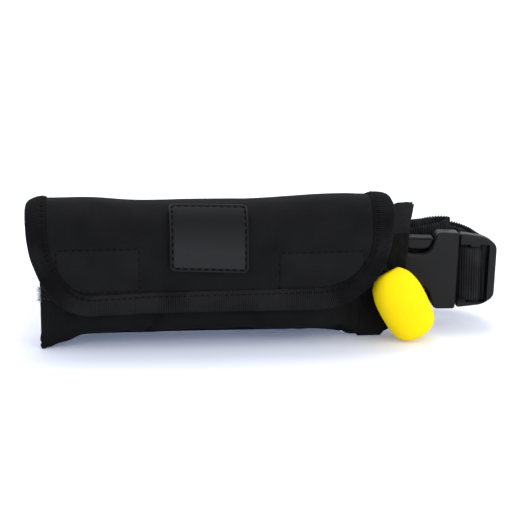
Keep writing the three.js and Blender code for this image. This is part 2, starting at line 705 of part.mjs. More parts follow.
function makeTunnel() {
  const inner = GAP;
  const room = TUNNEL_ROOM;
  const low = TUNNEL_FLAT_LOW;
  const high = TUNNEL_FLAT_HIGH;
  const face = room + TUNNEL_CLOTH;
  const shape = new THREE.Shape([
    new THREE.Vector2(inner, low - TUNNEL_SLOPE - TUNNEL_HEM),
    new THREE.Vector2(inner + TUNNEL_CLOTH, low - TUNNEL_SLOPE - TUNNEL_HEM),
    new THREE.Vector2(inner + TUNNEL_CLOTH, low - TUNNEL_SLOPE),
    new THREE.Vector2(face, low),
    new THREE.Vector2(face, high),
    new THREE.Vector2(inner + TUNNEL_CLOTH, high + TUNNEL_SLOPE),
    new THREE.Vector2(inner + TUNNEL_CLOTH, high + TUNNEL_SLOPE + TUNNEL_HEM),
    new THREE.Vector2(inner, high + TUNNEL_SLOPE + TUNNEL_HEM),
    new THREE.Vector2(inner, high + TUNNEL_SLOPE - TUNNEL_TURN),
    new THREE.Vector2(room, high - TUNNEL_TURN),
    new THREE.Vector2(room, low + TUNNEL_TURN),
    new THREE.Vector2(inner, low - TUNNEL_SLOPE + TUNNEL_TURN),
  ]);
  const depth = TUNNEL_RIGHT - TUNNEL_LEFT;
  const geometry = new THREE.ExtrudeGeometry(shape, { depth, bevelEnabled: false });
  // The outline's first axis becomes y, its second z, and the extrusion runs along x
  const axes = new THREE.Matrix4().makeBasis(
    new THREE.Vector3(0, 1, 0), new THREE.Vector3(0, 0, 1), new THREE.Vector3(1, 0, 0));
  geometry.applyMatrix4(axes);
  geometry.translate(TUNNEL_LEFT, 0, 0);
  addPiece('belt_tunnel', geometry, NYLON);
}

function makeBelt() {
  const curve = new THREE.CatmullRomCurve3(BELT_ROUTE.map(({ x, y, z }) => new THREE.Vector3(x, y, z)));
  curve.arcLengthDivisions = 2000;
  const steps = Math.round(curve.getLength() / BELT_STEP);
  const strips = spread(0, 1, steps).map((along) => {
    const point = curve.getPointAt(along);
    point.z = Math.max(point.z, 0);
    const tangent = curve.getTangentAt(along);
    const side = new THREE.Vector3(tangent.y, -tangent.x, 0).setLength(BELT_THICK / 2);
    const low = [point.clone().add(side), point.clone().sub(side)];
    const high = low.map((corner) => corner.clone().add(new THREE.Vector3(0, 0, BELT_WIDTH)));
    return { outer: [low[0], high[0]], inner: [low[1], high[1]] };
  });
  addPiece('belt', sheetSolid(strips), WEBBING);
}

// Closed outline with rounded corners, as a shape or a hole
function roundedOutline(corners, target) {
  const count = corners.length;
  const at = (i) => new THREE.Vector2(corners[(i + count) % count].u, corners[(i + count) % count].v);
  corners.forEach(({ round }, i) => {
    const here = at(i);
    const before = here.clone().add(at(i - 1).sub(here).setLength(round));
    const after = here.clone().add(at(i + 1).sub(here).setLength(round));
    if (i === 0) {
      target.moveTo(before.x, before.y);
    } else {
      target.lineTo(before.x, before.y);
    }
    target.quadraticCurveTo(here.x, here.y, after.x, after.y);
  });
  target.closePath();
  return target;
}

function mirrored(half) {
  return [...half, ...half.slice().reverse().map(({ u, v, round }) => ({ u, v: -v, round }))];
}

function rectangle({ from, to, half }, round) {
  return [
    { u: to, v: half, round },
    { u: from, v: half, round },
    { u: from, v: -half, round },
    { u: to, v: -half, round },
  ];
}

// Plate in the buckle's plane, u along x and v along z, centred on its thickness
function bucklePlate(shape, thick, bevel) {
  const geometry = new THREE.ExtrudeGeometry(shape, {
    depth: thick - 2 * bevel,
    bevelEnabled: bevel > 0,
    bevelThickness: bevel,
    bevelSize: bevel,
    bevelOffset: -bevel,
    bevelSegments: 2,
    curveSegments: 5,
  });
  geometry.translate(0, 0, bevel - thick / 2);
  geometry.rotateX(Math.PI / 2);
  return toManifold(geometry);
}

function placeBuckle(piece) {
  piece.position.set(BUCKLE_X, BUCKLE_Y, BUCKLE_Z);
  piece.rotation.y = BUCKLE_TURN;
}

function makeSocket() {
  const shape = roundedOutline(mirrored(SOCKET_HALF_OUTLINE), new THREE.Shape());
  shape.holes.push(roundedOutline(rectangle(SOCKET_SLOT, 1), new THREE.Path()));
  const cavity = roundedOutline(rectangle(SOCKET_CAVITY, 1), new THREE.Shape());
  let socket = bucklePlate(shape, SOCKET_THICK, SOCKET_BEVEL);
  socket = socket.subtract(bucklePlate(cavity, SOCKET_CAVITY.thick, 0));
  // The bar that the webbing wraps is thinner than the body
  const relief = bucklePlate(roundedOutline(rectangle(SOCKET_BAR, 1), new THREE.Shape()), SOCKET_THICK, 0);
  const clear = (SOCKET_THICK + SOCKET_BAR.thick) / 2;
  socket = socket.subtract(relief.translate([0, clear, 0])).subtract(relief.translate([0, -clear, 0]));
  placeBuckle(addPiece('buckle_socket', fromManifold(socket), ACETAL));
}

function makePlug() {
  const plate = (corners, thick, bevel) => {
    const outline = roundedOutline(corners, new THREE.Shape());
    return bucklePlate(outline, thick, bevel);
  };
  const flipped = (corners) => corners.map(({ u, v, round }) => ({ u, v: -v, round }));
  let plug = plate(mirrored(PLUG_HALF_OUTLINE), PLUG_THICK, PLUG_BEVEL);
  plug = plug.add(plate(rectangle(PLUG_BODY, 1), PLUG_ARM_THICK, 0));
  plug = plug.subtract(plate(PLUG_OPENING, 2 * PLUG_THICK, 0));
  plug = plug.add(plate(PLUG_TONGUE, PLUG_ARM_THICK, 0));
  for (const side of [(corners) => corners, flipped]) {
    plug = plug.add(plate(side(PLUG_ARM), PLUG_ARM_THICK, 0));
    plug = plug.add(plate(side(PADDLE), PADDLE_THICK, PLUG_BEVEL));
  }
  const bar = new THREE.CylinderGeometry(1, 1, 2 * CROSSBAR.half, 16);
  bar.scale(CROSSBAR.halfWidth, 1, CROSSBAR.halfThick);
  bar.rotateX(Math.PI / 2);
  bar.translate(CROSSBAR.u, CROSSBAR.back, 0);
  plug = plug.add(toManifold(bar));
  const lip = plate(PLUG_LIP, PLUG_LIP_THICK, 0);
  plug = plug.add(lip.translate([0, (PLUG_LIP_THICK - PLUG_THICK) / 2, 0]));
  placeBuckle(addPiece('buckle_plug', fromManifold(plug), ACETAL));
}

// Height of the toggle's middle that sets its lower rim on the floor
function toggleHeight() {
  const steep = Math.hypot(TOGGLE_AXIS.x, TOGGLE_AXIS.y);
  return Math.max(...TOGGLE_PROFILE.map(({ at, radius }) => -at * TOGGLE_AXIS.z + radius * steep));
}

const TOGGLE_CENTRE = new THREE.Vector3(TOGGLE_X, TOGGLE_Y, toggleHeight());

function makeToggle() {
  const ends = [TOGGLE_PROFILE[0], TOGGLE_PROFILE[TOGGLE_PROFILE.length - 1]];
  const profile = [
    new THREE.Vector2(0, ends[0].at),
    ...TOGGLE_PROFILE.map(({ at, radius }) => new THREE.Vector2(radius, at)),
    new THREE.Vector2(0, ends[1].at),
  ];
  const toggle = addPiece('toggle', new THREE.LatheGeometry(profile, 28), FOAM);
  toggle.quaternion.setFromUnitVectors(new THREE.Vector3(0, 1, 0), TOGGLE_AXIS);
  toggle.position.copy(TOGGLE_CENTRE);
}

function makePullCord() {
  const head = TOGGLE_PROFILE[0].at - GAP;
  const start = TOGGLE_CENTRE.clone().addScaledVector(TOGGLE_AXIS, head);
  const lead = TOGGLE_CENTRE.clone().addScaledVector(TOGGLE_AXIS, head - CORD_LEAD);
  const route = [start, lead, ...CORD_ROUTE.map(({ x, y, z }) => new THREE.Vector3(x, y, z))];
  const section = new THREE.Shape().absarc(0, 0, CORD_RADIUS, 0, 2 * Math.PI);
  const curve = new THREE.CatmullRomCurve3(route);
  const cord = new THREE.ExtrudeGeometry(section, { steps: 18, curveSegments: 4, extrudePath: curve });
  addPiece('pull_cord', cord, WEBBING);
}

makePouch();
makeFlap();
makeBinding();
makePatch();
makeHookPads();
makeLoopStrip();
makeTunnel();
makeBelt();
makeSocket();
makePlug();
makeToggle();
makePullCord();

// The part's origin is the middle of its footprint, on the floor
pack.updateMatrixWorld(true);
const footprint = new THREE.Box3().setFromObject(pack, true);
const middle = footprint.getCenter(new THREE.Vector3());
pack.position.set(-middle.x, -middle.y, -footprint.min.z);

export default pack;
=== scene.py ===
"""Looks of an inflatable belt pack, made round its fixed frame.

Sizes and places are in millimetres, in the frame that the pieces were modelled in: x = 0 is the middle of
the flap, y = 0 the outer face of the pouch's back, -Y the front, and z = 0 the floor. metres() turns them
into the row's frame.
"""

import math
import random

import bmesh
import bpy
import numpy as np
from mathutils import Matrix, Vector, noise


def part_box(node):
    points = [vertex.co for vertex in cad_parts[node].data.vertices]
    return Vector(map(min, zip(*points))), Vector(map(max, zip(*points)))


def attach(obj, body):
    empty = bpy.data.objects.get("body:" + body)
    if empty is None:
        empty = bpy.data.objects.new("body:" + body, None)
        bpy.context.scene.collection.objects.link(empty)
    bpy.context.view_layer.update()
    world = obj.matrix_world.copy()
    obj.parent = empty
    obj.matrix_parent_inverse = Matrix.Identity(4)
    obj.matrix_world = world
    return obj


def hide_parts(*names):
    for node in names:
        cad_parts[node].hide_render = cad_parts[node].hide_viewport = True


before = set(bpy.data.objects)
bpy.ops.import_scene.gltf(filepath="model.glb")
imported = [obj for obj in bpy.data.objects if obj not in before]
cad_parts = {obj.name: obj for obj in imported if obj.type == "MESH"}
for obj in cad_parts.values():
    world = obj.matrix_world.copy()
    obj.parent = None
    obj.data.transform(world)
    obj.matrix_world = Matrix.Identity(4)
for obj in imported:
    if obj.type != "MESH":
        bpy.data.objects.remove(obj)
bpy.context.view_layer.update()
random.seed(11)

MM = 0.001
GAP = 0.3
UP = np.array([0.0, 0.0, 1.0])

TUNNEL_LEFT = -64
tunnel_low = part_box("belt_tunnel")[0]
ORIGIN = np.array([tunnel_low.x - TUNNEL_LEFT * MM, tunnel_low.y - GAP * MM, 0.0])


def metres(points):
    return np.asarray(points, float) * MM + ORIGIN


def add_object(name, data):
    made = bpy.data.objects.new(name, data)
    bpy.context.scene.collection.objects.link(made)
    return made


# Camera at the photograph's angle
AZIMUTH = math.radians(-5)
ELEVATION = math.radians(13)
EYE = (-53.3, -915.6, 252.6)
LENS_MM = 122.1
SENSOR_MM = 36


def make_camera():
    camera = add_object("camera", bpy.data.cameras.new("camera"))
    level = math.cos(ELEVATION)
    back = Vector((math.sin(AZIMUTH) * level, -math.cos(AZIMUTH) * level, math.sin(ELEVATION)))
    camera.location = metres(EYE)
    camera.rotation_mode = "QUATERNION"
    camera.rotation_quaternion = (-back).to_track_quat("-Z", "Y")
    camera.data.lens = LENS_MM
    camera.data.sensor_width = SENSOR_MM
    camera.data.clip_start = 0.05
    camera.data.clip_end = 20
    bpy.context.scene.camera = camera


make_camera()

# Flap
FLAP_CLOTH = 1.5
TAPE_PILE = 1.2
BINDING_TAPE = 0.9
FLAP_HALF = 95
# How far the flap's lower corners curve across it and along it
FLAP_CORNER_LEFT = (33, 46)
FLAP_CORNER_RIGHT = (39, 40)
FLAP_LINE = [
    (1.05, 63.6), (1.05, 68.6), (-3.2, 73.4), (-12, 76.4), (-21, 77.6), (-30.5, 76.2), (-38, 70.6),
    (-41.5, 60.5), (-42.2, 48), (-41.6, 34), (-39.6, 20.5)]
FLAP_ROWS = 160
FLAP_COLUMNS = 220
# Folds: x, z, their reach along x and z, and how far they push along x, y and z
FOLDS = [
    (-34, 80, 34, 16, 0, 0, -2.2), (22, 80, 34, 16, 0, 0, -2), (86, 80, 12, 16, 0, 0, -0.9),
    (-97, 78, 5.5, 18, 0, 0, -3.8), (97, 78, 4.5, 18, 0, 0, -3), (97, 76, 9, 10, 2, 0, 0),
    (97, 48, 9, 12, -0.9, 0, 0), (-97, 76, 9, 10, -0.9, 0, 0), (-62, 82, 15, 12, 0, 0, 1),
    (-70, 26, 34, 12, 0, 0, -1.6), (-34, 50, 9, 30, 0, 1.3, 0), (48, 62, 24, 20, 0, -1.2, 0),
    (-70, 62, 20, 18, 0, -0.8, 0), (88, 20, 60, 22, 0, 0, 1.2), (74, 18, 62, 10, 0, 0, -1.5)]
# Hook tape, and the stitched boxes that hold it as left, right, low and high
HOOK_PADS = {
    "hook_pad_left": {"left": -78, "right": -37, "low": 31.5, "high": 56},
    "hook_pad_right": {"left": 35, "right": 76, "low": 29, "high": 53},
}
BOXES = [(-80, -37.5, 33.2, 55), (35.4, 79.6, 30.6, 51.6)]
LOOP_LEFT = -88.4
LOOP_RIGHT = 66
LOOP_LOW = 27
LOOP_HIGH = 52

# Binding, with its straight foot measured along it
BINDING_WIDTH = 10.3
BINDING_FOOT_WIDER = 1.15
BINDING_INSIDE = FLAP_CLOTH / 2 + GAP
BINDING_OUTSIDE = BINDING_INSIDE + BINDING_TAPE
BINDING_PRESSED = 1.8
BINDING_STITCH_INSET = 8.4
RIB_PITCH = 1.15
RIB_HEIGHT = 0.13
# Where along the binding its foot is painted paler and its sides darker, as painted light and shade
FOOT_MIDDLE = 175.6
FOOT_HALF = 59
FOOT_FADE = 34
LEAF_STEP = 0.6
PRESS_DEPTH = 0.6
SIDE_RIBS = 0.3
SEAM_DIP = 0.3
SEAM_DIP_WIDTH = 0.7
SEAM_PUCKER = 0.14
SEAM_PUCKER_WIDTH = 1.3
BINDING_WAVE = 0.18
BINDING_WAVE_SCALE = 9

# Pouch sections: x, how full, heights of the toe and the heel of the underside
POUCH_SECTIONS = np.array([
    (-89, 0, 0, 0), (-86.5, 0.08, 0, 0), (-84, 0.2, 0.3, 0.2), (-79, 0.48, 1.7, 1.2), (-73, 0.78, 3.3, 2.4),
    (-66, 0.95, 6.5, 3), (-56, 1, 8, 2.4), (-45, 1, 8.4, 3), (-38, 1, 8, 2.7), (-32, 1, 8.6, 2.4),
    (-24, 1, 9, 3.4), (-10, 1, 8.9, 3.4), (12, 1, 8.4, 3), (34, 1, 7.8, 2.4), (56, 0.99, 7.6, 2),
    (65, 0.88, 7.6, 1.7), (74, 0.6, 7.8, 2.4), (81, 0.32, 6.6, 1.6), (87, 0.14, 3, 0.6), (94, 0.04, 0, 0),
    (102, 0, 0, 0), (110, 0, 0, 0)])
POUCH_DEPTH = 36.95
POUCH_WALL = 1.6
SEAM_THICK = 3.4
LEFT_SEAM_Y = -30
RIGHT_SEAM_TOP_Y = -13.5
RIGHT_SEAM_TOE_Y = -19.5
RIGHT_SEAM_RISE = 25
MOUTH_FRONT_Z = 66
MOUTH_BACK_Z = 66.5
EAR_TOP_Z = 70
FRONT_FOOT_Z = 20.5
TOE_Y = -28
HEEL_FRONT_Y = -11
HEEL_BACK_Y = -4
HEEL_RISE = 5
UNDERSIDE_SAG = 0.42
LEAN_FROM_X = 55
LEAN_TO_X = 110
LEAN_TOE = 18
LEAN_FADE_Z = 18

# Rubber patch, its rim as inset and height
PATCH_X = -1.2
PATCH_BOTTOM_Z = 42.6
PATCH_WIDTH = 40.8
PATCH_HEIGHT = 37
PATCH_SLOPE = -0.047
PATCH_CORNER = 2.8
PATCH_SEAT = 0.45
PATCH_PROFILE = [
    (0, 0), (0, 0.8), (0.03, 1.5), (0.14, 1.82), (0.34, 2), (0.55, 2.03), (0.76, 1.98), (0.93, 1.8),
    (1.06, 1.5), (1.2, 1.35), (1.5, 1.3), (1.8, 1.35), (2, 1.5), (2.25, 1.66), (2.7, 1.7)]
PATCH_BACK_INSETS = (14, 8, 3)
PATCH_FACE_INSETS = (5.5, 7.5, 9.5, 11.5, 13.5, 15.5, 17)
PATCH_STITCH_INSET = 1.5
# How far in the patch's rim and stitch groove are painted darker, as painted shade
PATCH_SHADED_RIM = PATCH_STITCH_INSET + 0.4

# Belt route seen from above, z being the height of its lower edge
BELT_WIDTH = 30
BELT_THICK = 1.6
BELT_ROUTE = [
    (118, 46.6, 19.5), (126, 44.2, 19.9), (134, 41.4, 20), (142.4, 37, 19.6), (148.8, 31, 18), (153, 23, 16),
    (155.8, 15, 14.8), (156.4, 9, 14.2), (154.8, 4.8, 13.9), (152, 1.9, 13.8), (150.5, -1.6, 13.9),
    (148.7, -4.1, 14), (145.6, -4.9, 14.1), (142.3, -4.6, 14.2), (139.6, -2.8, 14.4), (138.5, 0.2, 14.5),
    (139.3, 3.8, 14.8), (141.8, 7.8, 15.5), (144.8, 12.6, 16.4), (146.2, 18.5, 17.3), (144, 26, 18.2),
    (138.6, 32, 18.6), (130, 36, 18.8), (120, 39.6, 18.8),
    (111, 47, 18), (105, 57, 16.6), (103, 68, 15), (98, 88, 11), (90, 112, 6), (75, 138, 2), (52, 158, 0),
    (20, 170, 0), (-15, 170, 0), (-46, 157, 0), (-68, 133, 2.5), (-79, 103, 8), (-83, 74, 14.5),
    (-83.5, 48, 20), (-82, 26, 24), (-76.5, 9, 26.4), (-65, 1.6, 27), (-50, 1.1, 27), (0, 1.1, 27),
    (50, 1.1, 27), (66, 1.2, 27), (75, 2.4, 27), (83, 5.8, 26.8), (92, 9.6, 26.4), (104, 11.4, 26),
    (116, 13.4, 26.2), (126, 16.6, 27.1), (132, 16.8, 27.3), (135.2, 13.6, 27.1), (133, 10.4, 26.4),
    (126, 8.6, 24.6), (116, 7.2, 23.4), (106, 6.6, 22), (96.2, 6.3, 20.2), (91.2, 4.8, 19.3),
    (88.6, 0.4, 18.8), (89.1, -4.8, 18.7), (92.4, -7, 18.6), (96.3, -5, 18.6), (97.1, -1, 18.6),
    (98.4, 2.9, 18.5), (102.4, 4.3, 18.4), (112, 4.4, 18.2)]
BELT_ROUND = 0.5
BELT_RIB = 1.6
BELT_RIB_HEIGHT = 0.18
BELT_EDGE_REACH = 1.5
BELT_EDGE_THINNER = 0.12
BELT_SCALLOP = 0.5
# Where the belt turns behind the plug's frame it hangs a little lower
BELT_TURN = (152.5, 2.5)
BELT_TURN_REACH = 4.5
BELT_HANG = 0.9
BELT_HANG_DEPTHS = (0.8, 2.2)

# Belt tunnel on the back
TUNNEL_RIGHT = 62
TUNNEL_CLOTH = 1.3
TUNNEL_ROOM = 2.4
TUNNEL_FLAT_LOW = 24.5
TUNNEL_FLAT_HIGH = 58.2
TUNNEL_SLOPE = 1.8
TUNNEL_HEM = 2.6
TUNNEL_END_SEAM = 4
TUNNEL_HEM_SEAM = 1.4
TUNNEL_SEAM_DIP = 0.2
TUNNEL_SEAM_WIDTH = 0.8
TUNNEL_PUCKER = 0.12

# Buckle: u along it, v across it, and corners as u, v and size
BUCKLE_PLACE = (136.3, -3, 31.5)
BUCKLE_TURN = math.radians(2.3)
SOCKET_THICK = 9.4
SOCKET_HALF_OUTLINE = [
    (0, 21.2, 1.6), (-11.8, 21.5, 2.5), (-17, 9.6, 4), (-29, 9.6, 4), (-33, 19.3, 3), (-45, 19.3, 3)]
SOCKET_NOTCH = {"from": -33.5, "to": -11, "half": 20.4}
SOCKET_CAVITY = {"from": -31.5, "to": 3, "half": 18.4, "thick": 5.8}
SOCKET_SLOT = {"from": -42, "to": -36.4, "half": 15.9}
SOCKET_BAR = {"from": -47, "to": -36.4, "half": 16.2, "thick": 3.6}
PLUG_THICK = 8
PLUG_HALF_OUTLINE = [(0.6, 20.9, 2.4), (15.4, 18.9, 3), (21.6, 14.6, 3)]
PLUG_OPENING = [(17.4, 14.8, 1), (0.3, 14.8, 0.2), (1.5, -17.6, 0.2), (17.4, -17.6, 1)]
PLUG_BODY = {"from": -6, "to": 2.2, "half": 18.1}
PLUG_ARM_THICK = 4.8
PLUG_ARM = [(-1, 16.6, 0.3), (-19, 16.6, 1), (-19, 12.4, 1), (-1, 12.4, 0.3)]
PLUG_TONGUE = [(-1, 3, 0.3), (-24, 2.4, 1.5), (-24, -2.4, 1.5), (-1, -3, 0.3)]
PLUG_LIP = [(12.4, 15.6, 0.3), (6.6, 15.6, 0.3), (6.8, 13.4, 0.6), (12.2, 13.4, 0.6)]
PLUG_LIP_THICK = 1.1
PLUG_LIP_SET_BACK = 0.15
PLUG_LIP_RIMS = (0.4, 0.1)
PADDLE_THICK = 8.4
PADDLE_UPPER = [(-13.3, 18.4, 2), (-16.9, 11.6, 3), (-28.7, 11.6, 3), (-31.4, 18.4, 2.4)]
PADDLE_LOWER = [(-13.3, -18.4, 2), (-17.4, -10.1, 2), (-28.7, -10.1, 2), (-31.4, -18.4, 2.4)]
CROSSBAR = {"u": 9.2, "back": 1.2, "half_width": 2.3, "half_thick": 1.6, "half": 17.5}
RECTANGLE_ROUND = 1
NOTCH_ROUND = 2.2
SOCKET_ROUND = 0.9
PLUG_ROUND = 1.5
PADDLE_ROUND = 1.3
SHARP_ANGLE = math.radians(40)

# Toggle, its profile as place along the axis and radius, and its cord
TOGGLE_X = 102.2
TOGGLE_Y = -30.8
TOGGLE_AXIS = np.array([0.469, 0.1, -0.878]) / np.linalg.norm([0.469, 0.1, -0.878])
TOGGLE_PROFILE = [
    (-20.2, 6.3), (-19.4, 7.6), (-15, 10.4), (-10, 12.2), (-5, 13.1), (0, 13.3), (6, 13.1), (11, 12.7),
    (14.4, 12), (17, 10.7), (18.8, 8.6), (19.7, 6.2)]
TOGGLE_TIP = 0.4
TOGGLE_SLANT = 0.37
TOGGLE_CUT_SHIFT = 3
TOGGLE_CUT_FROM = 12
TOGGLE_CUT_TO = 20
TOGGLE_SPOKES = 96
CORD_SPOKES = 12
CORD_RADIUS = 1.5
CORD_LEAD = 4.5
CORD_ROUTE = [
    (87.6, -30.2, 46), (85.4, -31.4, 54), (83, -31.6, 62), (80, -29.4, 69), (76.4, -24.4, 71.6),
    (73.4, -19.6, 68), (72, -17.6, 62)]

# Stitches as length, gap and radius, and how far they arch up and sink in, in radii
BOX_STITCH = (2.6, 0.9, 0.22)
BINDING_STITCH = (2.4, 0.7, 0.26)
PATCH_STITCH = (2.9, 0.7, 0.3)
TUNNEL_STITCH = (2.6, 0.8, 0.28)
STITCH_ARCH = 1.5
STITCH_SINK = 1.1
# How finely stitches and fibres are built
STITCH_SIDES = 6
STITCH_RINGS = 7
FIBRE_SIDES = 4
FIBRE_RINGS = 6


# Curves and grids
def ease(value, low, high):
    share = np.clip((value - low) / (high - low), 0, 1)
    return share * share * (3 - 2 * share)


def bell(value, width):
    return np.exp(-(value / width) ** 2)


def ribbing(along, pitch):
    return np.cos(along * 2 * math.pi / pitch)


def together(*parts):
    """Coordinates put together as points."""
    return np.stack(np.broadcast_arrays(*parts), axis=-1)


def unit(vectors):
    return vectors / np.linalg.norm(vectors, axis=-1, keepdims=True)


def catmull_rom(points, per_span):
    """Dense points on the centripetal Catmull-Rom curve through the given ones."""
    points = np.asarray(points, float)
    ends = np.vstack([2 * points[0] - points[1], points, 2 * points[-1] - points[-2]])
    share = np.linspace(0, 1, per_span, endpoint=False)[:, None]
    dense = []
    for before, here, after, beyond in zip(ends[:-3], ends[1:-2], ends[2:-1], ends[3:]):
        first, second, third = (
            math.sqrt(np.linalg.norm(b - a)) for a, b in ((before, here), (here, after), (after, beyond)))
        middle = (after - here) / second
        leave = ((here - before) / first - (after - before) / (first + second) + middle) * second
        arrive = (middle - (beyond - here) / (second + third) + (beyond - after) / third) * second
        square = -3 * here + 3 * after - 2 * leave - arrive
        cube = 2 * here - 2 * after + leave + arrive
        dense.append(here + leave * share + square * share ** 2 + cube * share ** 3)
    dense.append(points[-1:])
    return np.vstack(dense)


def lengths(points):
    steps = np.linalg.norm(np.diff(points, axis=0), axis=1)
    return np.concatenate([[0], np.cumsum(steps)])


def at_lengths(points, along, wanted):
    """Places on a line at the wanted distances along it."""
    return together(*(np.interp(wanted, along, column) for column in np.asarray(points).T))


def evenly(points, count):
    along = lengths(points)
    return at_lengths(points, along, np.linspace(0, along[-1], count))


def grid_normals(grid):
    normal = np.cross(np.gradient(grid, axis=0), np.gradient(grid, axis=1))
    return normal / np.maximum(np.linalg.norm(normal, axis=-1, keepdims=True), 1e-9)


def grid_quads(rows, columns, wrap=False):
    row, column = np.meshgrid(np.arange(rows - 1), np.arange(columns if wrap else columns - 1), indexing="ij")
    near = row * columns + column
    beside = row * columns + (column + 1) % columns
    return together(near, beside, beside + columns, near + columns).reshape(-1, 4)


def ripple(first, second, scale, seed):
    """Soft noise over two coordinates."""
    flat = zip(np.ravel(first) / scale, np.ravel(second) / scale)
    values = [noise.noise((a, b, seed * 7.3)) for a, b in flat]
    return np.array(values).reshape(np.shape(first))


def pairs(first, second):
    """Two coordinates of a grid as one list of flat places."""
    return together(first, second).reshape(-1, 2)


def circle(count):
    return np.linspace(0, 2 * math.pi, count, endpoint=False)


def spokes(count, side, other):
    """Directions all round an axis, from two directions across it."""
    angle = circle(count)[:, None]
    return np.cos(angle) * side[..., None, :] + np.sin(angle) * other[..., None, :]


def cross_axes(axis):
    side = unit(np.cross(axis, UP))
    return side, np.cross(axis, side)


# Pieces
def turn_outwards(mesh, merge=0.0):
    """Turns a closed mesh's faces outwards, after joining points nearer than merge."""
    shell = bmesh.new()
    shell.from_mesh(mesh)
    if merge:
        bmesh.ops.remove_doubles(shell, verts=shell.verts, dist=merge)
    bmesh.ops.recalc_face_normals(shell, faces=shell.faces)
    shell.to_mesh(mesh)
    shell.free()


def new_object(name, points, faces, material, cloth):
    """A smooth mesh piece. cloth holds each point's place on its flat cloth, for the weave."""
    mesh = bpy.data.meshes.new(name)
    mesh.from_pydata(metres(points).tolist(), [], [list(face) for face in faces])
    layer = mesh.uv_layers.new(name="cloth")
    corners = np.empty(len(mesh.loops), int)
    mesh.loops.foreach_get("vertex_index", corners)
    layer.data.foreach_set("uv", (np.asarray(cloth, float) * MM)[corners].ravel())
    turn_outwards(mesh)
    mesh.polygons.foreach_set("use_smooth", [True] * len(mesh.polygons))
    mesh.materials.append(material)
    return add_object(name, mesh)


def sheet_piece(name, outer, inner, material, cloth):
    """A closed sheet from the grids of its two sides, which lie at the same places of the cloth."""
    rows, columns = outer.shape[:2]
    count = rows * columns
    face = grid_quads(rows, columns)
    index = np.arange(count).reshape(rows, columns)
    rim = np.concatenate([index[0], index[1:, -1], index[-1, -2::-1], index[-2:0:-1, 0]])
    after = np.roll(rim, -1)
    side = together(rim, rim + count, after + count, after)
    points = np.vstack([outer.reshape(-1, 3), inner.reshape(-1, 3)])
    faces = np.vstack([face, face[:, ::-1] + count, side])
    return new_object(name, points, faces, material, np.vstack([cloth, cloth]))


def tube_faces(rows, columns):
    """Faces of a tube of rings that is shut at both ends."""
    last = (rows - 1) * columns
    ends = [list(range(columns)), list(range(last, last + columns))]
    return grid_quads(rows, columns, wrap=True).tolist() + ends


def tube_piece(name, rings, material, cloth):
    return new_object(name, rings.reshape(-1, 3), tube_faces(*rings.shape[:2]), material, cloth)


def settle(piece, slot, *nodes):
    """The piece rides with the pack and stands for the named nodes."""
    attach(piece, "root")
    if nodes:
        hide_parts(*nodes)
    return piece


def tubes_piece(name, tubes, material, slot):
    """One piece from many tubes."""
    points, faces = [], []
    first = 0
    for rings in tubes:
        points.append(rings.reshape(-1, 3))
        faces += [[corner + first for corner in face] for face in tube_faces(*rings.shape[:2])]
        first += len(points[-1])
    points = np.vstack(points)
    return settle(new_object(name, points, faces, material, points[:, :2]), slot)


def paint(piece, material, faces):
    """Gives the numbered faces a second material."""
    piece.data.materials.append(material)
    for index in faces:
        piece.data.polygons[int(index)].material_index = 1


# Materials
CLOTH_SPECULAR = 0.04
CLOTH_MOTTLE = 60
LINT_SCALE = 1800
LINT_HEIGHT = 0.8
MOULDED_MOTTLE = 35
BLEND_FROM = 0.3
BLEND_TO = 0.7
GREY_TINT = (1, 0.99, 1.03)
# Painted light on the binding's foot and painted shade up its sides
FOOT_PAINTED_LIGHT = 0.17
SIDES_PAINTED_SHADE = 0.4


def set_inputs(made, values):
    for name, value in values.items():
        made.inputs[name].default_value = value


def node(tree, kind, **settings):
    made = tree.nodes.new(kind)
    for name, value in settings.items():
        setattr(made, name, value)
    return made


def maths(tree, operation, first, second=None):
    made = node(tree, "ShaderNodeMath", operation=operation)
    for socket, value in zip(made.inputs, (first, second)):
        if value is None:
            continue
        if isinstance(value, (int, float)):
            socket.default_value = value
        else:
            tree.links.new(value, socket)
    return made.outputs[0]


def start_material(name, roughness, sheen=0.0, specular=0.5):
    material = bpy.data.materials.new(name)
    material.use_nodes = True
    tree = material.node_tree
    shader = tree.nodes["Principled BSDF"]
    set_inputs(shader, {"Roughness": roughness, "Specular IOR Level": specular})
    set_inputs(shader, {"Sheen Weight": sheen, "Sheen Roughness": 0.45})
    return material, tree, shader


def noise_value(tree, scale, detail=3.0):
    made = node(tree, "ShaderNodeTexNoise")
    set_inputs(made, {"Scale": scale, "Detail": detail})
    tree.links.new(node(tree, "ShaderNodeTexCoord").outputs["Object"], made.inputs["Vector"])
    return made.outputs["Fac"]


def colour_ramp(tree, share, stops):
    """Colour for a share, from two stops of place and colour."""
    ramp = node(tree, "ShaderNodeValToRGB")
    for element, (position, colour) in zip(ramp.color_ramp.elements, stops):
        element.position = position
        element.color = (*colour, 1)
    tree.links.new(share, ramp.inputs["Fac"])
    return ramp.outputs["Color"]


def blend_colours(tree, shader, share, low, high):
    colour = colour_ramp(tree, share, ((BLEND_FROM, low), (BLEND_TO, high)))
    tree.links.new(colour, shader.inputs["Base Color"])


def raise_bump(tree, shader, height, distance):
    bump = node(tree, "ShaderNodeBump")
    set_inputs(bump, {"Strength": 1.0, "Distance": distance})
    tree.links.new(height, bump.inputs["Height"])
    tree.links.new(bump.outputs["Normal"], shader.inputs["Normal"])


def grey(value):
    return tuple(value * part for part in GREY_TINT)


def cloth_place(tree):
    """A point's place on its own cloth, in metres."""
    split = node(tree, "ShaderNodeSeparateXYZ")
    tree.links.new(node(tree, "ShaderNodeUVMap", uv_map="cloth").outputs["UV"], split.inputs[0])
    return split.outputs["X"], split.outputs["Y"]


def thread_wave(tree, place, pitch):
    return maths(tree, "SINE", maths(tree, "MULTIPLY", place, math.pi / (pitch * MM)))


